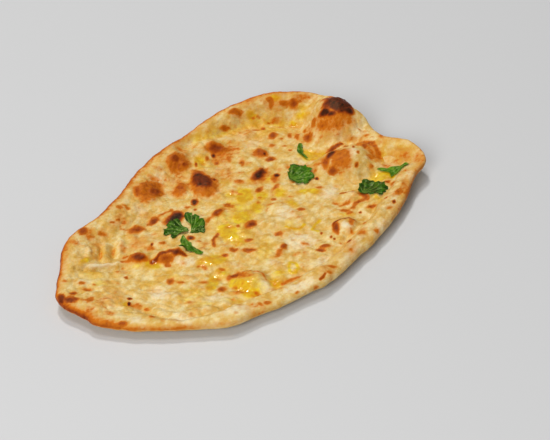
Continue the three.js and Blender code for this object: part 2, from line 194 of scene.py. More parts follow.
# Scorched lines, along the tops of folds: their points, half width and how dark.
SCORCHED_LINES = [
    ([(-88, 18), (-84, 14), (-80, 11)], 1.3, 0.48),
    ([(-84, 21), (-80, 19), (-78, 13)], 1.1, 0.50),
    ([(-74, 4), (-67, 3.5), (-62, 1), (-58, -2.5), (-55, -7)], 1.8, 0.74),
    ([(-40, 38), (-34, 38), (-28, 37)], 1.4, 0.42),
    ([(-23, -5), (-30, -8), (-34, -13)], 1.4, 0.58),
    ([(-49, -44), (-41, -44), (-37, -50)], 2.2, 0.50),
    ([(-37, -50), (-33, -57), (-35, -64)], 1.2, 0.34),
    ([(37, -57), (41, -56), (46, -56), (51, -59), (50, -64)], 1.4, 0.72),
    ([(70, -33), (73, -36), (78, -38)], 1.2, 0.60),
    ([(62, -52), (67, -50), (72, -50), (77, -53)], 1.9, 0.50),
    ([(59, -43), (65, -46)], 1.3, 0.38),
    ([(-13, -91), (-10, -91), (-7, -90)], 0.9, 0.55),
    ([(-29, -73), (-22, -74), (-17, -77)], 1.2, 0.36),
    ([(96, 3), (99, 5.5), (104, 6), (111, 4)], 2.0, 0.70),
    ([(118, -8), (122, -10), (124, -16), (122, -22), (119, -27)], 2.6, 0.48),
    ([(114, -8), (117, -14), (118, -22), (115, -28)], 4.0, 0.36),
]

# Paler, drier patches: x, y, half length, half width, turn and how pale.
PALE_PATCHES = [
    (-92, -24, 8.0, 5.5, 66, 0.9), (-39, -68, 7.0, 4.5, 43, 0.8), (-57, -14, 5.2, 3.8, -33, 0.8),
    (-1, 7, 5.8, 4.0, 42, 1.0), (-7, -2, 4.4, 3.2, 56, 0.9), (76, 77, 10, 3.2, -10, 0.8),
    (-61, -9, 5.6, 2.6, -85, 0.8), (-102, 23, 10, 2.0, -25, 1.0), (-120, -35, 5.6, 3.6, -41, 0.7),
    (11, -50, 13, 9.5, -37, 0.7), (66, -27, 10, 6.0, 27, 0.8), (41, -64, 4.4, 3.5, 78, 1.0),
    (118, -36, 7.4, 5.0, -45, 0.9), (25, -22, 11, 7.4, 53, 0.7), (20, -88, 12, 3.0, 10, 0.6),
    (-26, -85, 12, 4.6, -18, 0.8), (-70, -74, 13, 4.4, -30, 0.7), (-98, -54, 9.0, 5.5, 85, 0.6),
    (-98, 37, 6.2, 3.6, -50, 0.4), (-78, 32, 7.0, 3.2, 52, 0.3), (6, -76, 7.2, 3.8, -9, 0.8),
    (-19, -51, 4.6, 3.6, -49, 0.6), (81, 13, 8.5, 5.8, 75, 0.7), (-69, -52, 9.0, 4.2, -32, 0.6),
    (-12, 69, 9.0, 4.2, 43, 0.6), (54, -84, 11, 4.0, 12, 0.6), (82, -71, 10, 4.0, 24, 0.5),
    (30, -82, 9.0, 4.0, 6, 0.5), (101, -15, 7.0, 5.0, 35, 0.8), (112, -62, 7.5, 3.6, 51, 0.6),
    (-116, 15, 12, 7.0, -35, 0.4), (128, 0, 10, 6.0, -60, 0.5), (70, 55, 8.0, 5.0, -20, 0.5),
    (-45, 50, 9.0, 6.0, 40, 0.4),
]

# Butter that has gathered in hollows, and one patch of painted shade laid on as butter: x, y, half length,
# half width, turn and depth from 0 to 1.
BUTTER_POOLS_AND_PAINTED_SHADE = [
    (-75, 2, 6.2, 4.2, -63, 0.9), (-83, 8, 4.6, 2.0, -24, 0.5), (-108, 31, 4.2, 2.2, 19, 0.9),
    (-95, 32, 7.0, 2.2, 46, 0.35), (-86, 30, 7.0, 2.4, 46, 0.4), (-8, -6, 26, 13, 62, 0.42),
    (-114, -18, 3.6, 2.4, 42, 0.7), (-111, 19, 9.0, 5.2, -50, 0.35), (-113, 9, 6.0, 3.4, -23, 0.4),
    (24, 65, 6.4, 4.4, 28, 0.8), (19, 13, 9.0, 7.0, 50, 1.0), (-17, -9, 10, 7.0, 69, 1.0),
    (0, -4, 9.0, 7.0, 0, 0.9), (-18, -20, 8.0, 6.0, 12, 0.6), (6, 12, 6.0, 4.6, 67, 0.6),
    (-60, -40, 9.6, 3.8, 40, 0.95), (-48, -36, 6.4, 5.0, -85, 0.6), (-43, -24, 8.6, 5.6, -22, 1.0),
    (-51, -20, 4.0, 3.4, -52, 0.7), (-50, -56, 10.5, 4.6, -80, 1.0), (-50, -65, 6.6, 4.0, -36, 1.0),
    (-75, -39, 8.0, 5.2, -74, 0.45), (-84, -41, 6.0, 3.4, -38, 0.35), (108, 71, 4.4, 2.2, -33, 0.8),
    (87, 75, 4.4, 2.6, -34, 0.8), (109, 52, 3.6, 2.1, -56, 0.8), (116, 50, 5.2, 2.4, -41, 0.7),
    (120, 52, 5.0, 2.0, -49, 0.5), (88, 13, 10, 7.0, -79, 1.0), (40, -2, 6.0, 4.6, 71, 0.9),
    (58, -18, 4.4, 3.6, -67, 1.0), (53, -13, 5.4, 3.2, -26, 0.7), (29, 5, 6.4, 4.8, 55, 0.8),
    (13, 21, 5.0, 4.0, -45, 0.6), (37, -18, 6.6, 3.2, 78, 0.7), (-32, -69, 6.6, 4.8, 76, 0.7),
    (-24, -65, 5.0, 4.2, 44, 0.6), (-13, -40, 12, 6.0, 37, 0.4), (54, -53, 5.2, 2.4, -48, 0.5),
    (106, -43, 10, 7.0, -27, 1.0), (81, -57, 5.0, 2.4, 79, 0.7), (121, -29, 9.0, 3.0, 39, 0.5),
    (18, -33, 6.2, 5.0, 45, 0.35), (16, -2, 7.0, 5.4, 43, 0.8), (87, 61, 9.0, 6.2, 31, 0.4),
    (21, 35, 6.0, 4.4, 79, 0.4), (47, 15, 6.0, 5.0, -43, 0.6), (34, 22, 4.0, 3.0, 82, 0.4),
    (-73, -14, 8.0, 4.2, 87, 0.3), (-78, -52, 7.0, 2.6, -52, 0.3), (-62, -63, 8.0, 2.8, -50, 0.35),
    # the last patch of this row is painted shade on the ear's hollow, laid on as a thin film of butter
    (-89, -11, 6.6, 4.2, -37, 0.3), (95, 55, 10, 5.0, -35, 0.4), (126, -36, 14, 9.0, -35, 0.25),
    (4, 4, 16, 10, 50, 0.5), (-46, -58, 12, 8.0, -70, 0.5), (93, 7, 9.0, 5.5, -60, 0.9),
    (24, 62, 9.0, 5.0, 20, 0.4),
]

# Butter that has run along edges, and painted shade along the foot of the rear wall laid on as butter: the
# lines they follow, half width and depth.
BUTTER_RUNS_AND_PAINTED_SHADE = [
    ([(15, -33), (17, -38), (20, -41), (26, -40)], 1.3, 0.9),
    ([(-10, -61), (-8, -64), (-11, -70), (-16, -72), (-18, -69), (-15, -65), (-10, -61)], 1.3, 0.8),
    ([(37, -44), (31, -45), (25, -48), (27, -52)], 1.2, 0.8),
    # painted shade along the foot of the rear wall, laid on as a film of butter
    ([(36, 84), (53, 80), (79, 75), (93, 68), (103, 58)], 4.0, 0.45),
]

# Beads of butter that stand on the crust and catch the light: x, y and radius.
BUTTER_BEADS = [
    (24, 79, 1.5), (30, 79, 1.4), (67, 77, 1.4), (81, 68, 1.4), (73, 65, 1.6), (91, 65, 1.2), (11, 72, 1.2),
    (-9, 49, 1.4), (62, 57, 1.3), (8, 63, 1.2), (-4, 41, 1.4), (4, 29, 1.3), (-2, -30, 1.1), (5, -33, 1.3),
    (8, -29, 1.4), (20, -28, 1.3), (80, -13, 1.4), (86, -17, 1.3), (117, -33, 1.4), (99, -36, 1.4),
    (122, 55, 1.2), (127, 50, 1.1), (-38, -59, 1.3), (93, 48, 1.1), (107, 57, 1.2), (14, 20, 1.2),
    (53, 21, 1.2), (77, 33, 1.3), (30, -8, 1.3), (24, -7, 1.4), (70, 60, 1.0), (84, 56, 1.1),
    (-52, 28, 1.0), (-68, 22, 1.0), (46, 52, 1.1), (36, 74, 1.1), (-30, -30, 1.1), (-22, -28, 1.1),
    (12, -14, 1.0), (50, -6, 1.1),
]

# How toasted the very edge is, and how far in that reaches: heading in degrees, how dark, millimetres.
EDGE_TOAST = [
    (-180, 0.60, 4.0), (-176, 0.72, 4.0), (-171, 0.52, 3.2), (-164, 0.42, 2.8), (-154, 0.38, 2.6),
    (-144, 0.30, 2.6), (-132, 0.14, 3.5), (-118, 0.08, 4.0), (-90, 0.06, 4.0), (-52, 0.10, 4.0),
    (-42, 0.34, 4.0), (-34, 0.40, 5.0), (-22, 0.34, 8.0), (-12, 0.26, 5.0), (0, 0.10, 4.0),
    (14, 0.10, 4.0), (24, 0.46, 5.0), (34, 0.82, 4.0), (50, 0.80, 4.0), (70, 0.78, 4.0),
    (100, 0.82, 4.0), (130, 0.84, 4.0), (150, 0.86, 4.5), (160, 0.84, 5.0), (168, 0.74, 6.0),
    (180, 0.60, 4.5),
]

# Each leaf: its CAD node, how its colour leans and how far it curls up, and its blades. A blade has a point
# inside that sees its whole outline, the foot of its veins, the veins' ends, and its outline seen from above.
LEAVES = [
    {
        "node": "coriander_leaf_front",
        "shade": -0.12,
        "curl": 1.3,
        "blades": [
            {
                "centre": (-41.5, 18.5),
                "foot": (-36.0, 11.6),
                "veins": [(-45.0, 14), (-49, 19), (-45, 23), (-40, 26.5), (-34.5, 27), (-33.5, 22)],
                "outline": [
                    (-35.2, 10.6), (-36.5, 10.9), (-39.3, 11.4), (-41.3, 12.2), (-43.7, 13.1),
                    (-46.6, 11.9), (-49.1, 12.1), (-48.6, 14.7), (-46.5, 15.8), (-47.7, 17.2),
                    (-49.9, 17.8), (-50.8, 19.9), (-48.4, 21.2), (-47.3, 24.0), (-45.4, 23.6),
                    (-43.3, 23.4), (-43.0, 25.8), (-40.7, 27.0), (-38.1, 27.9), (-36.0, 28.1),
                    (-34.2, 27.6), (-32.7, 26.7), (-32.1, 24.5), (-33.0, 22.0), (-34.2, 19.3),
                    (-34.6, 16.3), (-34.4, 13.8),
                ],
            },
            {
                "centre": (-27.0, 14.5),
                "foot": (-34.6, 9.0),
                "veins": [
                    (-31, 5.5), (-26.5, 8), (-22.5, 11.5), (-21.5, 18), (-21.5, 23.5), (-24, 26), (-28.5, 19),
                ],
                "outline": [
                    (-34.7, 9.9), (-33.4, 10.8), (-30.5, 14.1), (-29.9, 17.3), (-29.7, 20.2), (-27.9, 23.8),
                    (-26.3, 26.2), (-23.7, 27.5), (-22.3, 26.5), (-21.8, 24.9), (-20.6, 24.4),
                    (-22.8, 21.2), (-20.8, 20.8), (-20.6, 18.5), (-20.8, 15.7), (-23.4, 13.8),
                    (-24.6, 12.8), (-22.2, 13.3), (-20.8, 12.1), (-21.9, 9.3), (-24.8, 6.8), (-26.5, 3.9),
                    (-28.8, 2.7), (-30.0, 5.2), (-32.5, 5.5), (-33.9, 7.0), (-35.5, 7.5), (-35.9, 9.2),
                ],
            },
        ],
    },
    {
        "node": "coriander_blade_front",
        "shade": 0.12,
        "curl": 1.0,
        "blades": [
            {
                "centre": (-46.6, -3.0),
                "foot": (-41.5, 9.0),
                "veins": [(-45.5, 1), (-47, -12.5), (-50, -5), (-51, 1)],
                "outline": [
                    (-41.0, 10.0), (-41.7, 7.7), (-42.5, 4.7), (-43.1, 2.4), (-42.8, -0.2), (-44.3, -2.4),
                    (-43.9, -5.0), (-44.2, -8.3), (-44.4, -11.0), (-44.0, -13.6), (-45.6, -13.9),
                    (-47.0, -13.9), (-48.7, -11.8), (-48.8, -10.0), (-49.9, -8.2), (-49.8, -6.6),
                    (-51.0, -3.9), (-51.7, -1.7), (-52.6, 0.6), (-52.0, 3.5), (-50.1, 2.7), (-48.2, 3.8),
                    (-47.1, 6.4), (-45.2, 8.3), (-42.7, 9.7),
                ],
            },
        ],
    },
    {
        "node": "coriander_sprig_small",
        "shade": 0.05,
        "curl": 1.4,
        "blades": [
            {
                "centre": (86.6, 21.5),
                "foot": (82.7, 11.0),
                "veins": [(86, 20), (91.5, 28)],
                "outline": [
                    (91.8, 29.1), (93.6, 28.5), (92.3, 25.6), (89.8, 23.4), (88.6, 21.4), (86.4, 19.5),
                    (85.8, 17.4), (84.5, 14.1), (83.3, 10.8), (82.2, 13.0), (82.7, 16.0), (83.1, 18.7),
                    (83.5, 20.9), (84.7, 24.4), (87.7, 26.9),
                ],
            },
        ],
    },
    {
        "node": "coriander_leaf_middle",
        "shade": 0.02,
        "curl": 1.8,
        "blades": [
            {
                "centre": (64.5, 2.5),
                "foot": (57.0, 4.0),
                "veins": [(68, 13), (72, 8), (71.5, 1), (68, -6), (61, -8), (58, -3), (61, 8)],
                "outline": [
                    (69.2, 16.4), (71.7, 15.3), (72.9, 12.9), (74.2, 11.0), (74.5, 9.3), (73.3, 6.8),
                    (75.7, 7.4), (74.2, 4.9), (73.1, 3.3), (73.8, 1.3), (73.6, -1.7), (72.2, -2.8),
                    (69.8, -2.4), (71.0, -4.9), (70.2, -7.4), (68.3, -8.5), (65.8, -7.9), (62.9, -8.9),
                    (60.8, -9.8), (58.6, -8.4), (59.4, -6.3), (56.8, -5.9), (54.5, -4.1), (56.0, -1.4),
                    (55.0, 1.0), (55.0, 3.6), (57.0, 6.4), (58.6, 9.2), (61.6, 9.5), (63.7, 12.9),
                    (66.8, 13.9),
                ],
            },
        ],
    },
    {
        "node": "coriander_leaf_rear",
        "shade": -0.18,
        "curl": 1.2,
        "blades": [
            {
                "centre": (88.0, -47.5),
                "foot": (80.5, -46.0),
                "veins": [(92, -37), (95, -43), (95.5, -50), (93, -56), (86.5, -57), (82, -53), (84, -40)],
                "outline": [
                    (93.5, -34.0), (95.6, -36.0), (95.5, -38.6), (96.9, -40.8), (95.5, -43.6),
                    (96.8, -45.7), (96.0, -48.6), (97.6, -50.6), (95.2, -52.6), (95.9, -55.4),
                    (93.6, -57.4), (91.9, -56.1), (90.5, -58.4), (88.8, -57.0), (86.1, -59.0),
                    (83.8, -58.0), (83.7, -54.6), (81.3, -54.4), (79.0, -52.8), (79.5, -49.0),
                    (78.8, -45.9), (79.7, -43.0), (80.3, -40.2), (84.5, -38.3), (86.6, -35.8),
                    (89.4, -36.2), (91.5, -34.6),
                ],
            },
        ],
    },
    {
        "node": "coriander_stalk_rear",
        "shade": 0.1,
        "curl": 0.8,
        "blades": [
            {
                "centre": (114.0, -45.2),
                "foot": (125.4, -48.5),
                "veins": [(119, -47.5), (112, -45), (107.5, -35.5), (107.5, -48.5)],
                "outline": [
                    (107.2, -34.6), (110.9, -35.9), (113.0, -38.8), (115.0, -40.8), (116.6, -42.7),
                    (118.2, -44.5), (120.1, -45.2), (122.1, -45.3), (124.0, -45.5), (125.5, -46.2),
                    (126.0, -48.2), (124.8, -50.8), (123.1, -51.4), (121.1, -51.1), (119.4, -50.5),
                    (117.0, -50.0), (114.7, -49.8), (112.7, -49.7), (110.9, -49.0), (109.5, -48.9),
                    (106.5, -49.2), (108.4, -46.5), (110.0, -44.4), (110.2, -42.0), (109.6, -39.5),
                    (108.5, -36.6),
                ],
            },
        ],
    },
]

# ---------------------------------------------------------------------------------------------------------
# Arithmetic on arrays of places
# ---------------------------------------------------------------------------------------------------------


def smoothstep(low, high, x):
    """0 below low, 1 above high and a smooth rise between."""
    share = np.clip((x - low) / (high - low), 0.0, 1.0)
    return share * share * (3 - 2 * share)


def gradient_noise(places, spacing, seed):
    """Smooth noise from about -1 to 1 at each of many 3-D places, with bumps about `spacing` apart."""
    size = 64
    rng = np.random.default_rng(seed)
    slopes = rng.normal(size=(size, size, size, 3))
    slopes /= np.linalg.norm(slopes, axis=-1, keepdims=True)
    scaled = places / spacing + rng.uniform(0, size, 3)
    cell = np.floor(scaled).astype(int)
    inside = scaled - cell
    ease = inside**3 * (inside * (inside * 6 - 15) + 10)
    total = np.zeros(len(places))
    for corner in np.ndindex(2, 2, 2):
        near = np.where(corner, ease, 1 - ease).prod(axis=1)
        i, j, k = ((cell + corner) % size).T
        total += near * (slopes[i, j, k] * (inside - corner)).sum(axis=1)
    return total * 1.6


def fractal_noise(places, spacing, octaves, seed):
    """Noise with finer and fainter noise on top, each octave at half the spacing and half the height."""
    layers = [gradient_noise(places, spacing / 2**n, seed + n) / 2**n for n in range(octaves)]
    return sum(layers)


def ellipse_reach(x, y, centre_x, centre_y, long, short, turn):
    """How far out each place is in an ellipse: 0 at its centre and 1 on its line."""
    cos, sin = math.cos(math.radians(turn)), math.sin(math.radians(turn))
    along = (x - centre_x) * cos + (y - centre_y) * sin
    across = (y - centre_y) * cos - (x - centre_x) * sin
    return np.hypot(along / long, across / short)


def line_distance(x, y, points):
    """The distance from each place to a line through points."""
    nearest = np.full(len(x), np.inf)
    for (ax, ay), (bx, by) in zip(points, points[1:]):
        share = ((x - ax) * (bx - ax) + (y - ay) * (by - ay)) / ((bx - ax) ** 2 + (by - ay) ** 2)
        share = np.clip(share, 0, 1)
        nearest = np.minimum(nearest, np.hypot(x - ax - share * (bx - ax), y - ay - share * (by - ay)))
    return nearest


def around(heading, values):
    """A value at each heading, between the two of HEADINGS on either side of it."""
    return np.interp(heading, HEADINGS, values, period=2 * math.pi)


def ring_blur(values, sigma):
    """Smooths values that run once round the compass. `sigma` is a number of headings."""
    reach = np.arange(-4 * sigma, 4 * sigma + 1)
    weights = np.exp(-0.5 * (reach / sigma) ** 2)
    padded = np.concatenate([values[-4 * sigma :], values, values[: 4 * sigma]])
    return np.convolve(padded, weights / weights.sum(), mode="valid")


def vertex_places(mesh):
    """Each vertex's place in mm."""
    places = np.empty(len(mesh.vertices) * 3)
    mesh.vertices.foreach_get("co", places)
    return places.reshape(-1, 3) / MM


def outermost(node):
    """A CAD node's edge seen from above: how far out it is and how high, for each of HEADINGS."""
    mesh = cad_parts[node].data
    places = vertex_places(mesh)
    ends = np.empty(len(mesh.edges) * 2, int)
    mesh.edges.foreach_get("vertices", ends)
    a, b = places[ends[0::2]], places[ends[1::2]]
    distances, heights = [], []
    for heading in HEADINGS:
        cos, sin = math.cos(heading), math.sin(heading)
        side_a = a[:, 1] * cos - a[:, 0] * sin
        side_b = b[:, 1] * cos - b[:, 0] * sin
        crosses = (side_a * side_b <= 0) & (side_a != side_b)
        share = (side_a[crosses] / (side_a[crosses] - side_b[crosses]))[:, None]
        met = a[crosses] + (b[crosses] - a[crosses]) * share
        along = met[:, 0] * cos + met[:, 1] * sin
        distances.append(along.max())
        heights.append(met[along.argmax(), 2])
    return np.array(distances), np.array(heights)


# ---------------------------------------------------------------------------------------------------------
# Meshes of two sheets that meet along one edge
# ---------------------------------------------------------------------------------------------------------


def disc_grid(columns, rows):
    """The points of a square grid pressed into a disc of radius 1, row by row."""
    s, t = np.meshgrid(np.linspace(-1, 1, columns + 1), np.linspace(-1, 1, rows + 1))
    disc = np.stack([s * np.sqrt(1 - t**2 / 2), t * np.sqrt(1 - s**2 / 2)], axis=-1)
    return disc.reshape(-1, 2)


def edge_mask(columns, rows):
    """Which points of the grid lie on the disc's edge."""
    mask = np.zeros((rows + 1, columns + 1), bool)
    mask[[0, -1], :] = True
    mask[:, [0, -1]] = True
    return mask.reshape(-1)


def sheet_faces(columns, rows):
    """The grid's cells, anticlockwise, as four indices each."""
    corner = (np.arange(rows)[:, None] * (columns + 1) + np.arange(columns)).reshape(-1)
    return np.stack([corner, corner + 1, corner + columns + 2, corner + columns + 1], axis=1)


def coarse_underside(columns, rows):
    """An underside with cells twice as wide as the top's, whose edge cells also hold the top's own edge
    points. Gives the top's index of each point that the underside needs, and its faces in those indices."""
    wide = columns + 1
    faces = []
    for row in range(0, rows, 2):
        for column in range(0, columns, 2):
            a = row * wide + column
            b, c, d = a + 2, a + 2 * wide + 2, a + 2 * wide
            face = [a]
            if row == 0:
                face.append(a + 1)
            face.append(b)
            if column == columns - 2:
                face.append(b + wide)
            face.append(c)
            if row == rows - 2:
                face.append(d + 1)
            face.append(d)
            if column == 0:
                face.append(a + wide)
            faces.append(face[::-1])
    used = sorted({i for face in faces for i in face})
    return np.array(used), faces


def two_sheet_mesh(name, columns, rows, top, bottom):
    """A closed mesh of a top and an underside, both given as places in mm at every point of one grid. The
    underside uses every other point. Returns the mesh, and for each vertex its grid point and whether it
    belongs to the underside alone."""
    used, under = coarse_underside(columns, rows)
    on_edge = edge_mask(columns, rows)
    inner = used[~on_edge[used]]
    new_index = np.arange(len(top))
    new_index[inner] = len(top) + np.arange(len(inner))
    faces = sheet_faces(columns, rows).tolist()
    faces += [[int(new_index[i]) for i in face] for face in under]
    places = np.concatenate([top, bottom[inner]])
    mesh = bpy.data.meshes.new(name)
    mesh.from_pydata((places * MM).tolist(), [], faces)
    mesh.shade_smooth()
    grid_point = np.concatenate([np.arange(len(top)), inner])
    is_under = np.arange(len(places)) >= len(top)
    return mesh, grid_point, is_under


def lay_out_for_baking(mesh, flat, top_faces):
    """Gives the mesh a UV map: its top seen from above in the lower part, and its underside, at half that
    scale, in the upper part. `flat` is each vertex's place seen from above. The top's faces come first."""
    low, high = flat.min(axis=0), flat.max(axis=0)
    scale = 0.98 / (high - low).max()
    margin = 0.01
    placed = (flat - low) * scale + margin
    under = (flat - low) * scale / 2 + (margin, placed[:, 1].max() + margin)
    corner_vertex = np.empty(len(mesh.loops), int)
    mesh.loops.foreach_get("vertex_index", corner_vertex)
    on_top = np.arange(len(mesh.loops)) < 4 * top_faces
    uv = np.where(on_top[:, None], placed[corner_vertex], under[corner_vertex])
    layer = mesh.uv_layers.new(name="OFBake")
    layer.uv.foreach_set("vector", uv.astype(np.float32).reshape(-1))


def paint(mesh, name, values):
    """Stores one number for each vertex, which a material reads by name."""
    attribute = mesh.attributes.new(name, "FLOAT", "POINT")
    attribute.data.foreach_set("value", np.asarray(values, np.float32))


def vertex_normals(mesh):
    """The surface's direction at each vertex."""
    normals = np.empty(len(mesh.vertices) * 3)
    mesh.vertex_normals.foreach_get("vector", normals)
    return normals.reshape(-1, 3)


def move_vertices(mesh, places):
    """Moves each vertex to its new place in mm."""
    mesh.vertices.foreach_set("co", (places * MM).reshape(-1))
    mesh.update()


def add_piece(name, mesh, material, node):
    """Puts a mesh in the scene as the finished form of one CAD node."""
    piece = bpy.data.objects.new(name, mesh)
    bpy.context.scene.collection.objects.link(piece)
    mesh.materials.append(material)
    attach(piece, "root")
    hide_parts(node)


# ---------------------------------------------------------------------------------------------------------
# The bread's shape and marks
# ---------------------------------------------------------------------------------------------------------

BREAD_CELLS = (340, 224)
EDGE_CROWDING = 1.35  # how much closer the cells lie towards the edge
CURL_START = 0.5  # the rim starts to rise this far out, and further out where it rises more
CURL_START_PER_LIFT = 0.018
RIM_REACH = (8, 22)  # the dough is as thick as the rim up to the first, and as the middle past the second
PLUMPNESS = 0.22  # how much the rim's thickness varies, as a share of it
BUBBLE_MERGING = 3  # the higher, the less one bubble adds to the height of another
SPATTERS_PER_POOL = 7  # small beads of butter round about each pool
SPATTER_RADIUS = (0.9, 1.5)
BEAD_STEEPNESS = 0.13  # a bead's height as a share of its radius
EDGE_LINE = 1.2  # how fast the darkest part of the edge fades, in mm
MARK_SPREAD = 1.65  # a mark has faded out this far from its middle, as a share of its own size
MARK_CRISPNESS = 0.34  # how much of that the widest marks lose at both ends of their fade
STREAK_TURN = -45  # the dough was stretched this way, and its wrinkles and freckles run along it
FRECKLES = 700
FRECKLE_REACH = 8  # no freckle shows further than this from its middle

# How much brown there is where nothing has marked the dough: everywhere, in wide drifts, in patches about
# a centimetre across, over the half nearest the high rim and on top of each lump.
BARE_TOAST, DRIFT_TOAST, PATCH_TOAST, REAR_TOAST, LUMP_TOAST = 0.04, 0.08, 0.16, 0.08, 0.10


def stretched(x, y, stretch):
    """Places squeezed along the streaks, so that noise on them comes out drawn along the streaks."""
    cos, sin = math.cos(math.radians(STREAK_TURN)), math.sin(math.radians(STREAK_TURN))
    along = x * cos + y * sin
    across = y * cos - x * sin
    return np.stack([along / stretch, across, np.zeros(len(x))], axis=1)


def bubble_heights(x, y, ruffle):
    """The height that bubbles add, each one a little ragged at its foot and melting into its neighbours."""
    raised = np.zeros(len(x))
    for centre_x, centre_y, long, short, turn, height, level in BUBBLES:
        reach = ellipse_reach(x, y, centre_x, centre_y, long, short, turn) * (1 + 0.08 * ruffle)
        raised += (height * (1 - smoothstep(level, 1, reach))) ** BUBBLE_MERGING
    return raised ** (1 / BUBBLE_MERGING)


def fold_heights(x, y):
    """The height that folds add and creases take away."""
    total = np.zeros(len(x))
    for points, width, height in FOLDS:
        total += height * np.exp(-((line_distance(x, y, points) / width) ** 2))
    return total


def bead_heights(x, y):
    """The height of the beads of butter, each a low round cap. Small spatters lie round about the pools."""
    rng = np.random.default_rng(29)
    spatters = []
    for pool_x, pool_y, long, *_ in BUTTER_POOLS_AND_PAINTED_SHADE:
        for _ in range(SPATTERS_PER_POOL):
            offset = rng.normal(0, long, 2)
            spatters.append((pool_x + offset[0], pool_y + offset[1], rng.uniform(*SPATTER_RADIUS)))
    raised = np.zeros(len(x))
    for centre_x, centre_y, radius in BUTTER_BEADS + spatters:
        reach = np.hypot(x - centre_x, y - centre_y) / radius
        raised = np.maximum(raised, BEAD_STEEPNESS * radius * np.clip(1 - reach**2, 0, 1))
    return raised


def marks(x, y, ellipses, lines, ruffle):
    """How strongly a set of marks shows at each place: full inside and fading out past its line, which
    `ruffle` makes ragged."""
    shown = np.zeros(len(x))
    for centre_x, centre_y, long, short, turn, depth in ellipses:
        reach = ellipse_reach(x, y, centre_x, centre_y, long, short, turn) + 0.25 * ruffle
        crisp = smoothstep(4, 10, min(long, short)) * MARK_CRISPNESS
        shown = np.maximum(shown, depth * (1 - smoothstep(0.2 + crisp, MARK_SPREAD - crisp, reach)))
    for points, width, depth in lines:
        reach = line_distance(x, y, points) / width + 0.3 * ruffle
        shown = np.maximum(shown, depth * (1 - smoothstep(0.1, 1.7, reach)))
    return shown


def bread_relief(places, butter, stretched_skin):
    """The skin's own lumps and dimples: rounded swellings with pinched valleys, finer and finer. They are
    shallow where the skin is stretched over a bubble or the rim, and where butter has filled them."""
    lumps = fractal_noise(places, 24, 2, seed=11) * 0.9
    billows = (np.abs(gradient_noise(places, 9.5, seed=21)) - 0.3) * 1.1
    small = (np.abs(gradient_noise(places, 4.6, seed=31)) - 0.3) * 0.6
    grain = fractal_noise(places, 2.2, 2, seed=41) * 0.16
    streaks = fractal_noise(stretched(places[:, 0], places[:, 1], 2.8), 4.4, 2, seed=51) * 0.34
    calm = 1 - 0.75 * stretched_skin
    levelled = 1 - 0.6 * butter
    return lumps * (1 - 0.5 * stretched_skin) + (billows + small + grain + streaks) * calm * levelled


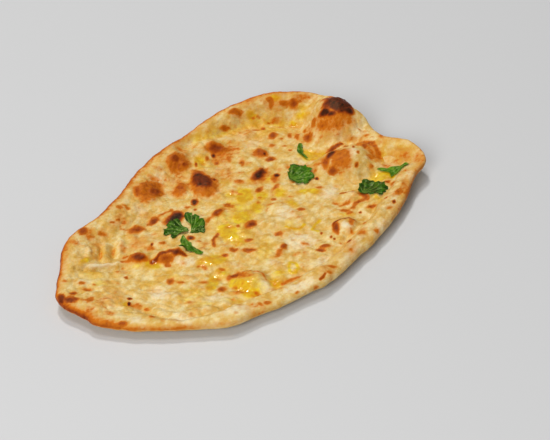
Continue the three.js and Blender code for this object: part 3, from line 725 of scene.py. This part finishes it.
def bake_bread(settings):
    """The bread's mesh, with its toast, butter and paleness painted on its vertices. The toast and the butter
    also carry some painted shade.
    """
    columns, rows = BREAD_CELLS
    rim_thickness, middle_thickness = settings.rim_thickness / MM, settings.middle_thickness / MM
    distance, height = outermost(BREAD_NODE)
    edge_radius = ring_blur(distance, 2)
    edge_lift = ring_blur(height, 6) - rim_thickness / 2
    half_length, half_width = distance[[0, len(HEADINGS) // 4]]
    disc = disc_grid(columns, rows)
    heading = np.arctan2(disc[:, 1] * half_width, disc[:, 0] * half_length)
    compass = np.stack([np.cos(heading), np.sin(heading), np.zeros(len(heading))], axis=1)
    flat_reach = np.where(edge_mask(columns, rows), 1.0, np.hypot(*disc.T))
    reach = 1 - (1 - flat_reach) ** EDGE_CROWDING

    # The edge wobbles a little, most of all at the left end, where the dough was torn and folded.
    wobble = fractal_noise(compass * 100, 16, 3, seed=5) * 0.7
    wobble += fractal_noise(compass * 100, 7, 2, seed=8) * 0.9 * smoothstep(2.6, 3.0, np.abs(heading))
    radius = around(heading, edge_radius) + wobble
    x, y = reach * radius * compass[:, 0], reach * radius * compass[:, 1]
    place = np.stack([x, y, np.zeros(len(x))], axis=1)
    inward = (1 - reach) * radius

    # The sheet of dough: how high its underside lies, how thick it is, and how its edge is rounded off.
    lift = around(heading, edge_lift)
    lift *= smoothstep(CURL_START + CURL_START_PER_LIFT * lift, 1, reach)
    plumpness = 1 + PLUMPNESS * fractal_noise(compass * 100, 30, 2, seed=61)
    rim_share = 1 - smoothstep(*RIM_REACH, inward)
    thickness = middle_thickness + (rim_thickness * plumpness - middle_thickness) * rim_share
    rounding = settings.rim_rounding / MM
    round_off = np.sqrt(1 - (1 - np.minimum(inward, rounding) / rounding) ** 2)

    ruffle = fractal_noise(place, 7, 3, seed=71)
    # butter also holds painted shade on the ear's hollow and along the foot of the rear wall
    butter = marks(x, y, BUTTER_POOLS_AND_PAINTED_SHADE, BUTTER_RUNS_AND_PAINTED_SHADE, fractal_noise(place, 6, 3, seed=81) * 0.8)
    pale = marks(x, y, PALE_PATCHES, [], fractal_noise(place, 6, 3, seed=83) * 0.8)
    beads = bead_heights(x, y)
    butter = np.maximum(butter, smoothstep(0, 0.5, beads))
    raised = bubble_heights(x, y, ruffle) + fold_heights(x, y)
    bottom = np.stack([x, y, lift + thickness / 2 * (1 - round_off)], axis=1)
    top = np.stack([x, y, lift + thickness / 2 * (1 + round_off) + raised * round_off], axis=1)
    mesh, grid_point, is_under = two_sheet_mesh("naan", columns, rows, top, bottom)

    # Lumps stand along the surface's own normal, so that they also shape the steep rim. The underside has
    # the top's lumps at its edge, its own further in, and none where it lies flat.
    base, normals = vertex_places(mesh), vertex_normals(mesh)
    inward = inward[grid_point]
    stretched_skin = np.maximum(1 - smoothstep(3, 14, inward), smoothstep(3, 9, raised[grid_point]))
    relief = bread_relief(base, butter[grid_point], stretched_skin) * settings.relief
    under_relief = fractal_noise(base, 18, 3, seed=91) * 0.5 * smoothstep(0.0, 2.0, base[:, 2])
    under_share = np.where(is_under, smoothstep(0, 5, inward), 0)
    moved = relief + (under_relief - relief) * under_share + np.where(is_under, 0, beads[grid_point])
    places = base + normals * moved[:, None]
    places[:, 2] = np.maximum(places[:, 2], 0.0)
    move_vertices(mesh, places)

    paint(mesh, "toast", toast_of(mesh, is_under, heading[grid_point], inward, relief, ruffle[grid_point]))
    paint(mesh, "butter", np.where(is_under, 0, butter[grid_point]))
    paint(mesh, "pale", np.where(is_under, 0, pale[grid_point]))
    flat = (flat_reach * radius)[grid_point, None] * compass[grid_point, :2]
    lay_out_for_baking(mesh, flat, columns * rows)
    return mesh


def toast_of(mesh, is_under, heading, inward, relief, ruffle):
    """How brown each vertex has baked, from 0 for pale dough to 1 for char, with some painted shade laid on
    as toast in the ear's hollow and the pleats at the left end.
    """
    places = vertex_places(mesh)
    x, y = places[:, 0], places[:, 1]
    spots = marks(x, y, SCORCHES_AND_PAINTED_SHADE, SCORCHED_LINES, ruffle * 0.9)

    degrees, dark, width = np.array(EDGE_TOAST, float).T
    at = np.degrees(heading)
    edge_width = np.interp(at, degrees, width)
    edge_line, edge_glow = np.exp(-inward / EDGE_LINE), np.exp(-((inward / edge_width) ** 2))
    patchy = 1 + 0.35 * gradient_noise(places, 14, seed=101)
    edge = np.interp(at, degrees, dark) * patchy * (edge_line + edge_glow) / 2

    lumps = smoothstep(0.2, 1.6, relief) * LUMP_TOAST
    broad = BARE_TOAST + DRIFT_TOAST * gradient_noise(places, 30, seed=111)
    broad += PATCH_TOAST * smoothstep(0.1, 0.8, gradient_noise(places, 11, seed=115))
    broad += REAR_TOAST * smoothstep(20, 70, y) * smoothstep(-100, -40, x)
    marked = np.maximum(np.maximum(spots, edge), freckle_marks(x, y))
    top = marked + (lumps + broad) * (1 - smoothstep(0.1, 0.6, marked))

    # The underside baked against the oven's wall, in wide brown blotches that stop short of the edge.
    blotches = fractal_noise(places, 26, 3, seed=121)
    under = 0.16 + 0.45 * smoothstep(0.0, 0.8, blotches) + 0.06 * ruffle
    under = broad + (under - broad) * smoothstep(5, 16, inward)
    under = np.maximum(under, edge * 0.7)
    return np.clip(np.where(is_under, under, top), 0, 1)


def freckle_marks(x, y):
    """Hundreds of small light scorches, thick in some places and thin in others."""
    rng = np.random.default_rng(7)
    spots = np.stack([rng.uniform(side.min(), side.max(), FRECKLES) for side in (x, y)], axis=1)
    crowd = gradient_noise(np.column_stack([spots, np.zeros(FRECKLES)]), 34, seed=131)
    sizes = rng.uniform(0.9, 2.6, FRECKLES)
    shapes = rng.uniform(1.1, 2.2, FRECKLES)
    turns = STREAK_TURN + rng.normal(0, 25, FRECKLES)
    depths = rng.uniform(0.10, 0.40, FRECKLES) * smoothstep(-0.5, 0.5, crowd)
    shown = np.zeros(len(x))
    for (spot_x, spot_y), size, shape, turn, depth in zip(spots, sizes, shapes, turns, depths):
        near = np.flatnonzero((np.abs(x - spot_x) < FRECKLE_REACH) & (np.abs(y - spot_y) < FRECKLE_REACH))
        reach = ellipse_reach(x[near], y[near], spot_x, spot_y, size * shape, size, turn)
        shown[near] = np.maximum(shown[near], depth * (1 - smoothstep(0.4, 1.3, reach)))
    return shown


# ---------------------------------------------------------------------------------------------------------
# Coriander
# ---------------------------------------------------------------------------------------------------------

LEAF_CELLS = (52, 52)
LEAF_GAP = 0.12  # between the lowest part of a leaf and the crust, in mm
VEIN_WIDTH = 0.38
BLADE_SWELL = 1.3  # how far from a vein the blade has swollen to its full height, in mm
TOOTH_SPACING = 1.25  # from one tooth of a blade's edge to the next, in mm
TOOTH_DEPTH = 0.28
TOOTH_LEAN = 0.65  # where a tooth's tip is, as a share of its length along the edge


def crust_height(tree, x, y):
    """The bread's height under each place, in mm. `tree` holds the bread's faces."""
    above, down = 0.2, Vector((0, 0, -1))
    hits = [tree.ray_cast(Vector((px * MM, py * MM, above)), down)[0] for px, py in zip(x, y)]
    return np.array([hit.z / MM for hit in hits])


def along_outline(outline, centre, share):
    """The points that lie at given shares of the way round an outline, with small teeth cut in it."""
    corners = np.array([*outline, outline[0]])
    if cross_sum(corners) < 0:
        corners = corners[::-1]
    run = np.concatenate([[0], np.cumsum(np.hypot(*np.diff(corners, axis=0).T))])
    at = share * run[-1]
    edge = np.stack([np.interp(at, run, corners[:, 0]), np.interp(at, run, corners[:, 1])], axis=1)
    phase = (at / TOOTH_SPACING) % 1
    tooth = TOOTH_DEPTH * (np.minimum(phase / TOOTH_LEAN, (1 - phase) / (1 - TOOTH_LEAN)) - 0.5)
    outward = edge - centre
    return edge + outward / np.hypot(*outward.T)[:, None] * tooth[:, None]


def cross_sum(corners):
    """Twice the area inside a closed outline, above 0 if it runs anticlockwise."""
    return float((corners[:-1, 0] * corners[1:, 1] - corners[1:, 0] * corners[:-1, 1]).sum())


def grow_blade(name, blade, leaf, settings, tree, seed):
    """One blade's mesh: toothed at its edge, grooved along its veins, swollen between them and curled."""
    columns, rows = LEAF_CELLS
    on_edge = edge_mask(columns, rows)
    disc = disc_grid(columns, rows)
    share = (np.arctan2(disc[:, 1], disc[:, 0]) / (2 * math.pi)) % 1
    reach = np.where(on_edge, 1.0, np.hypot(*disc.T))
    centre = np.array(blade["centre"])
    x, y = (centre + reach[:, None] * (along_outline(blade["outline"], centre, share) - centre)).T

    vein = np.full(len(x), np.inf)
    for tip in blade["veins"]:
        vein = np.minimum(vein, line_distance(x, y, [blade["foot"], tip]))
    place = np.stack([x, y, np.zeros(len(x))], axis=1)
    swell = 0.42 * (1 - np.exp(-((vein / BLADE_SWELL) ** 2)))
    ripple = gradient_noise(place, 4.5, seed=seed) * 0.45
    tilt = gradient_noise(place, 12, seed=seed + 1)
    raised = swell + ripple * reach + leaf["curl"] * (0.5 + tilt) * reach**2
    bottom_z = crust_height(tree, x, y) + LEAF_GAP + np.maximum(raised, 0)
    thickness = settings.thickness / MM * (1 - 0.7 * reach**6)
    top = np.stack([x, y, bottom_z + np.where(on_edge, thickness / 2, thickness)], axis=1)
    bottom = np.stack([x, y, bottom_z], axis=1)
    mesh, grid_point, _ = two_sheet_mesh(name, columns, rows, top, bottom)
    paint(mesh, "vein", np.exp(-((vein / VEIN_WIDTH) ** 2))[grid_point])
    paint(mesh, "tone", (leaf["shade"] + 0.3 * ripple + 0.12 * tilt)[grid_point])
    lay_out_for_baking(mesh, place[grid_point, :2], columns * rows)
    return mesh


def join_meshes(name, meshes):
    """One mesh of several. Their baking layouts are set side by side in one square."""
    joined = bpy.data.meshes.new(name)
    shell = bmesh.new()
    for i, mesh in enumerate(meshes):
        layer = mesh.uv_layers["OFBake"].uv
        uv = np.empty(len(mesh.loops) * 2, np.float32)
        layer.foreach_get("vector", uv)
        uv = uv.reshape(-1, 2) / len(meshes) + (i / len(meshes), 0)
        layer.foreach_set("vector", uv.reshape(-1))
        shell.from_mesh(mesh)
    shell.to_mesh(joined)
    shell.free()
    joined.shade_smooth()
    return joined


# ---------------------------------------------------------------------------------------------------------
# Materials
# ---------------------------------------------------------------------------------------------------------


def add_node(tree, kind, settings=None, inputs=None, stops=None):
    """Adds a node, sets its properties and its ramp's stops, both ends of the ramp first, and sets each input
    or links it to a socket."""
    made = tree.nodes.new(kind)
    for name, value in (settings or {}).items():
        setattr(made, name, value)
    for name, value in (inputs or {}).items():
        if isinstance(value, bpy.types.NodeSocket):
            tree.links.new(value, made.inputs[name])
        else:
            made.inputs[name].default_value = value
    for i, (position, colour) in enumerate(stops or []):
        elements = made.color_ramp.elements
        element = elements[i] if i < 2 else elements.new(position)
        element.position = position
        element.color = colour
    return made


def per_metre(spacing_mm):
    """The scale that puts a pattern's features this many millimetres apart."""
    return 1 / (spacing_mm * MM)


def baked_dough(settings):
    """Wheat dough baked against a clay oven's wall and brushed with melted butter. The skin is satin and
    finely pored, cream where it stayed soft, golden to chestnut where it met the heat and matt black where it
    burnt. Butter lies in the hollows, deep yellow and wet."""
    material = bpy.data.materials.new("baked_dough_buttered")
    material.use_nodes = True
    tree = material.node_tree
    tree.nodes.clear()
    place = add_node(tree, "ShaderNodeTexCoord").outputs["Object"]
    # The toast and butter attributes also carry some painted shade, which comes out here as toast and butter
    # colour.
    toast, butter, pale = (
        add_node(tree, "ShaderNodeAttribute", {"attribute_name": name}).outputs["Fac"]
        for name in ("toast", "butter", "pale")
    )

    # The dough drifts from cream to straw over about half a centimetre, drawn along the way it was stretched.
    turned = add_node(
        tree,
        "ShaderNodeMapping",
        inputs={"Vector": place, "Rotation": (0, 0, math.radians(-STREAK_TURN)), "Scale": (0.7, 1, 1)},
    ).outputs["Vector"]
    drift = add_node(
        tree,
        "ShaderNodeTexNoise",
        inputs={"Vector": turned, "Scale": per_metre(5.5), "Detail": 5.0, "Roughness": 0.65},
    ).outputs["Fac"]
    dough = add_node(
        tree,
        "ShaderNodeValToRGB",
        inputs={"Fac": drift},
        stops=[
            (0.38, settings.straw),
            (0.62, settings.cream),
            (0.5, settings.dough),
        ],
    ).outputs["Color"]

    # Dry, floury patches, whose edges are broken up over two or three millimetres.
    broken = add_node(
        tree,
        "ShaderNodeTexNoise",
        inputs={"Vector": turned, "Scale": per_metre(2.6), "Detail": 3.0, "Roughness": 0.6},
    ).outputs["Fac"]
    patchiness = add_node(
        tree,
        "ShaderNodeMapRange",
        inputs={"Value": broken, "From Min": 0.3, "From Max": 0.7, "To Min": -0.35, "To Max": 0.35},
    ).outputs["Result"]
    broken_pale = add_node(
        tree, "ShaderNodeMath", {"operation": "ADD"}, {0: pale, 1: patchiness}
    ).outputs["Value"]
    pale_cover = add_node(
        tree,
        "ShaderNodeMapRange",
        inputs={"Value": broken_pale, "From Min": 0.2, "From Max": 0.95, "To Min": 0.0, "To Max": 0.8},
    ).outputs["Result"]
    dough = add_node(
        tree,
        "ShaderNodeMix",
        {"data_type": "RGBA"},
        {"Factor": pale_cover, "A": dough, "B": settings.floury},
    ).outputs["Result"]

    # Fine flecks of toast, a millimetre or two long, which break up the edges of the big scorches too.
    fleck = add_node(
        tree,
        "ShaderNodeTexNoise",
        inputs={"Vector": turned, "Scale": per_metre(2.1), "Detail": 3.0, "Roughness": 0.55},
    ).outputs["Fac"]
    patch = add_node(
        tree, "ShaderNodeTexNoise", inputs={"Vector": place, "Scale": per_metre(13), "Detail": 2.0}
    ).outputs["Fac"]
    patch_amount = add_node(
        tree,
        "ShaderNodeMapRange",
        inputs={"Value": patch, "From Min": 0.35, "From Max": 0.68, "To Min": 0.1, "To Max": 0.75},
    ).outputs["Result"]
    fleck_step = add_node(
        tree,
        "ShaderNodeMapRange",
        inputs={"Value": fleck, "From Min": 0.5, "From Max": 0.8, "To Min": 0.0, "To Max": 0.22},
    ).outputs["Result"]
    flecks = add_node(
        tree, "ShaderNodeMath", {"operation": "MULTIPLY"}, {0: fleck_step, 1: patch_amount}
    ).outputs["Value"]
    rough_edge = add_node(
        tree,
        "ShaderNodeMapRange",
        inputs={"Value": fleck, "From Min": 0.25, "From Max": 0.75, "To Min": -0.06, "To Max": 0.06},
    ).outputs["Result"]
    ragged = add_node(
        tree, "ShaderNodeMath", {"operation": "ADD"}, {0: toast, 1: rough_edge}
    ).outputs["Value"]
    browned = add_node(
        tree, "ShaderNodeMath", {"operation": "ADD", "use_clamp": True}, {0: ragged, 1: flecks}
    ).outputs["Value"]
    crust = add_node(
        tree,
        "ShaderNodeValToRGB",
        inputs={"Fac": browned},
        stops=[
            (0.18, settings.golden),
            (1.0, settings.char),
            (0.38, settings.amber),
            (0.60, settings.chestnut),
            (0.77, settings.umber),
            (0.89, settings.scorched),
        ],
    ).outputs["Color"]
    cover = add_node(
        tree, "ShaderNodeMapRange", inputs={"Value": browned, "From Min": 0.06, "From Max": 0.38}
    ).outputs["Result"]
    dry = add_node(
        tree, "ShaderNodeMix", {"data_type": "RGBA"}, {"Factor": cover, "A": dough, "B": crust}
    ).outputs["Result"]

    # Butter darkens and yellows what is under it, and its own edge is broken by the pores.
    broken_butter = add_node(
        tree, "ShaderNodeMath", {"operation": "MULTIPLY_ADD"}, {0: patchiness, 1: 0.45, 2: butter}
    ).outputs["Value"]
    film = add_node(
        tree,
        "ShaderNodeMapRange",
        inputs={"Value": broken_butter, "From Min": 0.02, "From Max": 0.7, "To Min": 0.0, "To Max": 1.0},
    ).outputs["Result"]
    buttered = add_node(
        tree,
        "ShaderNodeMix",
        {"data_type": "RGBA", "blend_type": "MULTIPLY"},
        {"Factor": film, "A": dry, "B": settings.butter},
    ).outputs["Result"]

    # Dry crust is satin. Where butter lies it is smoother, and a pool of butter has a wet shine of its own.
    rough = add_node(
        tree,
        "ShaderNodeMapRange",
        inputs={"Value": butter, "From Min": 0.0, "From Max": 0.9, "To Min": 0.5, "To Max": 0.1},
    ).outputs["Result"]
    wetness = add_node(
        tree, "ShaderNodeMapRange", inputs={"Value": butter, "From Min": 0.45, "From Max": 0.9}
    ).outputs["Result"]

    # Pores and flour grain, half a millimetre to two across, and flattened where butter has filled them.
    pores = add_node(
        tree,
        "ShaderNodeTexNoise",
        inputs={"Vector": place, "Scale": per_metre(1.3), "Detail": 5.0, "Roughness": 0.62},
    ).outputs["Fac"]
    wrinkles = add_node(
        tree,
        "ShaderNodeTexNoise",
        inputs={"Vector": turned, "Scale": per_metre(2.6), "Detail": 3.0, "Roughness": 0.5},
    ).outputs["Fac"]
    skin = add_node(tree, "ShaderNodeMath", {"operation": "ADD"}, {0: pores, 1: wrinkles}).outputs["Value"]
    unfilled = add_node(
        tree,
        "ShaderNodeMapRange",
        inputs={"Value": butter, "From Min": 0.2, "From Max": 0.9, "To Min": 0.4, "To Max": 0.12},
    ).outputs["Result"]
    bump = add_node(
        tree, "ShaderNodeBump", inputs={"Strength": unfilled, "Distance": 0.6 * MM, "Height": skin}
    ).outputs["Normal"]
    shader = add_node(
        tree,
        "ShaderNodeBsdfPrincipled",
        inputs={
            "Base Color": buttered,
            "Roughness": rough,
            "IOR": 1.4,
            "Specular IOR Level": 0.3,
            "Specular Tint": settings.sheen,
            "Coat Weight": wetness,
            "Coat Roughness": 0.06,
            "Coat IOR": 1.46,
            "Subsurface Weight": 0.12,
            "Subsurface Radius": (1.0, 0.55, 0.25),
            "Subsurface Scale": 2.5 * MM,
            "Normal": bump,
        },
    )
    add_node(tree, "ShaderNodeOutputMaterial", inputs={"Surface": shader.outputs["BSDF"]})
    return material


def coriander(settings):
    """Fresh coriander leaf, torn and damp with butter: thin and a little see-through, deep green between
    lighter veins, and glossy enough to catch the light in small broken highlights."""
    material = bpy.data.materials.new("fresh_coriander_leaf")
    material.use_nodes = True
    tree = material.node_tree
    tree.nodes.clear()
    place = add_node(tree, "ShaderNodeTexCoord").outputs["Object"]
    vein, shade = (
        add_node(tree, "ShaderNodeAttribute", {"attribute_name": name}).outputs["Fac"]
        for name in ("vein", "tone")
    )
    mottle = add_node(
        tree, "ShaderNodeTexNoise", inputs={"Vector": place, "Scale": per_metre(3.2), "Detail": 4.0}
    ).outputs["Fac"]
    tone = add_node(tree, "ShaderNodeMath", {"operation": "ADD"}, {0: mottle, 1: shade}).outputs["Value"]
    blade = add_node(
        tree,
        "ShaderNodeValToRGB",
        inputs={"Fac": tone},
        stops=[
            (0.22, settings.deep_green),
            (0.95, settings.light_green),
            (0.55, settings.leaf_green),
        ],
    ).outputs["Color"]
    vein_amount = add_node(
        tree, "ShaderNodeMath", {"operation": "MULTIPLY"}, {0: vein, 1: 0.55}
    ).outputs["Value"]
    colour = add_node(
        tree,
        "ShaderNodeMix",
        {"data_type": "RGBA"},
        {"Factor": vein_amount, "A": blade, "B": settings.vein_green},
    ).outputs["Result"]
    cells = add_node(
        tree, "ShaderNodeTexNoise", inputs={"Vector": place, "Scale": per_metre(0.9), "Detail": 3.0}
    ).outputs["Fac"]
    bump = add_node(
        tree, "ShaderNodeBump", inputs={"Strength": 0.5, "Distance": 0.3 * MM, "Height": cells}
    ).outputs["Normal"]
    shader = add_node(
        tree,
        "ShaderNodeBsdfPrincipled",
        inputs={
            "Base Color": colour,
            "Roughness": 0.26,
            "IOR": 1.4,
            "Specular IOR Level": 0.3,
            "Specular Tint": settings.sheen,
            "Subsurface Weight": 0.15,
            "Subsurface Radius": (0.4, 1.0, 0.2),
            "Subsurface Scale": 0.6 * MM,
            "Normal": bump,
        },
    )
    add_node(tree, "ShaderNodeOutputMaterial", inputs={"Surface": shader.outputs["BSDF"]})
    return material


def matt_card(settings):
    """A studio sweep of matt white card, which shows only a soft shadow."""
    material = bpy.data.materials.new("matt_white_card")
    material.use_nodes = True
    tree = material.node_tree
    tree.nodes.clear()
    shader = add_node(
        tree,
        "ShaderNodeBsdfPrincipled",
        inputs={"Base Color": settings.card, "Roughness": 0.9, "Specular IOR Level": 0.2},
    )
    add_node(tree, "ShaderNodeOutputMaterial", inputs={"Surface": shader.outputs["BSDF"]})
    return material


# ---------------------------------------------------------------------------------------------------------
# The add-on: what a user can change, and what builds each piece
# ---------------------------------------------------------------------------------------------------------

FLOOR_SIZE = 8.0  # in metres
SENSOR_WIDTH = 36  # in mm


def linear(hex_colour):
    """An sRGB colour written as hex, as the linear red, green, blue and alpha that Blender works in."""
    channels = [int(hex_colour[i : i + 2], 16) / 255 for i in (1, 3, 5)]
    return [c / 12.92 if c <= 0.04045 else ((c + 0.055) / 1.055) ** 2.4 for c in channels] + [1.0]


COLOUR = {"subtype": "COLOR", "size": 4, "min": 0, "max": 1}


class NaanBreadSettings(bpy.types.PropertyGroup):
    middle_thickness: bpy.props.FloatProperty(
        name="Middle thickness",
        description="How thick the dough is in the middle",
        default=5 * MM,
        unit="LENGTH",
    )
    rim_thickness: bpy.props.FloatProperty(
        name="Rim thickness", description="How thick the dough is at the rim", default=6.6 * MM, unit="LENGTH"
    )
    rim_rounding: bpy.props.FloatProperty(
        name="Rim rounding",
        description="How far in the rim's round edge reaches",
        default=3.6 * MM,
        unit="LENGTH",
    )
    relief: bpy.props.FloatProperty(
        name="Relief", description="How deep the skin's lumps and dimples are", default=1.35, min=0, max=2
    )
    straw: bpy.props.FloatVectorProperty(
        name="Straw", description="The deepest colour of pale dough", default=linear("#d5a54a"), **COLOUR
    )
    dough: bpy.props.FloatVectorProperty(
        name="Dough", description="The dough's main colour", default=linear("#dfbb6f"), **COLOUR
    )
    cream: bpy.props.FloatVectorProperty(
        name="Cream", description="The palest dough", default=linear("#ead296"), **COLOUR
    )
    floury: bpy.props.FloatVectorProperty(
        name="Floury", description="Dry, pale patches", default=linear("#f0e2bf"), **COLOUR
    )
    golden: bpy.props.FloatVectorProperty(
        name="Golden", description="Lightly toasted crust", default=linear("#db9a44"), **COLOUR
    )
    amber: bpy.props.FloatVectorProperty(
        name="Amber", description="Toasted crust", default=linear("#cc7012"), **COLOUR
    )
    chestnut: bpy.props.FloatVectorProperty(
        name="Chestnut", description="Well-browned crust", default=linear("#a0450a"), **COLOUR
    )
    umber: bpy.props.FloatVectorProperty(
        name="Umber", description="Nearly burnt crust", default=linear("#72290a"), **COLOUR
    )
    scorched: bpy.props.FloatVectorProperty(
        name="Scorched", description="Crust about to burn", default=linear("#471c0f"), **COLOUR
    )
    char: bpy.props.FloatVectorProperty(
        name="Char", description="Burnt crust", default=linear("#1c0806"), **COLOUR
    )
    butter: bpy.props.FloatVectorProperty(
        name="Butter",
        description="What deep butter does to the colour under it",
        default=linear("#fff04c"),
        **COLOUR,
    )
    sheen: bpy.props.FloatVectorProperty(
        name="Sheen", description="The tint of the crust's shine", default=linear("#ffdc96"), **COLOUR
    )


class NaanLeafSettings(bpy.types.PropertyGroup):
    thickness: bpy.props.FloatProperty(
        name="Thickness", description="How thick a leaf is", default=0.28 * MM, unit="LENGTH"
    )
    deep_green: bpy.props.FloatVectorProperty(
        name="Deep green", description="A leaf's darkest part", default=linear("#1a3a02"), **COLOUR
    )
    leaf_green: bpy.props.FloatVectorProperty(
        name="Leaf green", description="A leaf's main colour", default=linear("#3b6b0a"), **COLOUR
    )
    light_green: bpy.props.FloatVectorProperty(
        name="Light green", description="A leaf's lightest part", default=linear("#73981c"), **COLOUR
    )
    vein_green: bpy.props.FloatVectorProperty(
        name="Vein green", description="The veins", default=linear("#7c9a3c"), **COLOUR
    )
    sheen: bpy.props.FloatVectorProperty(
        name="Sheen", description="The tint of a leaf's shine", default=linear("#f4f0a0"), **COLOUR
    )


class NaanStageSettings(bpy.types.PropertyGroup):
    card: bpy.props.FloatVectorProperty(
        name="Card", description="The floor's colour", default=linear("#d2d2d2"), **COLOUR
    )
    azimuth: bpy.props.FloatProperty(
        name="Azimuth",
        description="The camera's heading; 0 looks along +Y",
        default=math.radians(-45),
        subtype="ANGLE",
    )
    elevation: bpy.props.FloatProperty(
        name="Elevation", description="The camera's height angle", default=math.radians(38.8), subtype="ANGLE"
    )
    distance: bpy.props.FloatProperty(
        name="Distance", description="From the camera to what it looks at", default=780 * MM, unit="LENGTH"
    )
    aim: bpy.props.FloatVectorProperty(
        name="Aim",
        description="What the camera looks at, from the middle of the footprint",
        default=(0.0141, -0.023, 0.006),
        subtype="TRANSLATION",
    )
    lens: bpy.props.FloatProperty(
        name="Lens", description="Focal length in millimetres", default=73.9, min=1, unit="CAMERA"
    )
    key_power: bpy.props.FloatProperty(
        name="Key power", description="The soft light high above", default=69, min=0, unit="POWER"
    )
    fill_power: bpy.props.FloatProperty(
        name="Fill power",
        description="The weak light from the camera's side",
        default=22,
        min=0,
        unit="POWER",
    )
    glint_power: bpy.props.FloatProperty(
        name="Glint power",
        description="The small light from behind that glints on butter",
        default=36,
        min=0,
        unit="POWER",
    )
    ambience: bpy.props.FloatProperty(
        name="Ambience", description="How bright the room is round the floor", default=0.24, min=0
    )


class NAAN_OT_bread(bpy.types.Operator):
    """Bakes the bread in one piece around its CAD solid"""

    bl_idname = "naan.bread"
    bl_label = "Bread"

    def execute(self, context):
        settings = context.scene.naan_bread
        add_piece("naan", bake_bread(settings), baked_dough(settings), BREAD_NODE)
        return {"FINISHED"}


class NAAN_OT_coriander(bpy.types.Operator):
    """Lays every coriander leaf on the bread"""

    bl_idname = "naan.coriander"
    bl_label = "Coriander"

    def execute(self, context):
        settings = context.scene.naan_leaf
        material = coriander(settings)
        tree = BVHTree.FromObject(context.scene.objects["naan"], context.evaluated_depsgraph_get())
        for i, leaf in enumerate(LEAVES):
            name = leaf["node"].replace("coriander_", "") + "_of_coriander"
            blades = [
                grow_blade(f"{name}_{j}", blade, leaf, settings, tree, 200 + 10 * i + 3 * j)
                for j, blade in enumerate(leaf["blades"])
            ]
            mesh = join_meshes(name, blades) if len(blades) > 1 else blades[0]
            add_piece(name, mesh, material, leaf["node"])
        return {"FINISHED"}


class NAAN_OT_stage(bpy.types.Operator):
    """Sets out the floor, the lights and the camera"""

    bl_idname = "naan.stage"
    bl_label = "Stage"

    def execute(self, context):
        settings, scene = context.scene.naan_stage, context.scene
        up = Vector((0, 0, 1))
        back = Vector((-math.sin(settings.azimuth), math.cos(settings.azimuth), 0))
        right = back.cross(up)

        mesh = bpy.data.meshes.new("floor")
        half = FLOOR_SIZE / 2
        corners = [(-half, -half, 0), (half, -half, 0), (half, half, 0), (-half, half, 0)]
        mesh.from_pydata(corners, [], [(0, 1, 2, 3)])
        mesh.materials.append(matt_card(settings))
        floor = bpy.data.objects.new("floor", mesh)
        scene.collection.objects.link(floor)

        # Each light: its name, power, width, and where it stands as shares of back, right and up, in metres.
        for name, watts, width, place in (
            ("key", settings.key_power, 1.7, (0.7, -1.5, 6.0)),
            ("fill", settings.fill_power, 1.0, (-1.5, -0.75, 1.1)),
            ("glint", settings.glint_power, 0.4, (1.5, -0.5, 2.8)),
        ):
            data = bpy.data.lights.new(name, "AREA")
            data.energy = watts
            data.shape = "DISK"
            data.size = width
            light = bpy.data.objects.new(name, data)
            light.location = back * place[0] + right * place[1] + up * place[2]
            light.rotation_euler = (-light.location).to_track_quat("-Z", "Y").to_euler()
            scene.collection.objects.link(light)

        scene.world = bpy.data.worlds.new("studio")
        scene.world.use_nodes = True
        background = scene.world.node_tree.nodes["Background"]
        background.inputs["Color"].default_value = (1, 1, 1, 1)
        background.inputs["Strength"].default_value = settings.ambience
        scene.view_settings.view_transform = "Standard"

        camera = bpy.data.objects.new("camera", bpy.data.cameras.new("camera"))
        camera.data.lens = settings.lens
        camera.data.sensor_width = SENSOR_WIDTH
        away = -back * math.cos(settings.elevation) + up * math.sin(settings.elevation)
        camera.location = Vector(settings.aim) + away * settings.distance
        camera.rotation_euler = (-away).to_track_quat("-Z", "Y").to_euler()
        scene.collection.objects.link(camera)
        scene.camera = camera
        return {"FINISHED"}


class NAAN_PT_builder(bpy.types.Panel):
    """Lists what builds each piece, and under it what a user can change"""

    bl_idname = "NAAN_PT_builder"
    bl_label = "Naan"
    bl_space_type = "VIEW_3D"
    bl_region_type = "UI"
    bl_category = "Naan"

    def draw(self, context):
        for operator in OPERATORS:
            self.layout.operator(operator.bl_idname)
        for name, group in SETTINGS.items():
            box = self.layout.box()
            for setting in group.__annotations__:
                box.prop(getattr(context.scene, name), setting)


SETTINGS = {
    "naan_bread": NaanBreadSettings,
    "naan_leaf": NaanLeafSettings,
    "naan_stage": NaanStageSettings,
}
OPERATORS = [NAAN_OT_bread, NAAN_OT_coriander, NAAN_OT_stage]
CLASSES = [*SETTINGS.values(), *OPERATORS, NAAN_PT_builder]


def register():
    for cls in CLASSES:
        bpy.utils.register_class(cls)
    for name, cls in SETTINGS.items():
        setattr(bpy.types.Scene, name, bpy.props.PointerProperty(type=cls))


def unregister():
    for name in SETTINGS:
        delattr(bpy.types.Scene, name)
    for cls in reversed(CLASSES):
        bpy.utils.unregister_class(cls)


def main():
    register()
    bpy.ops.naan.bread()
    bpy.ops.naan.coriander()
    bpy.ops.naan.stage()


if __name__ == "__main__":
    main()
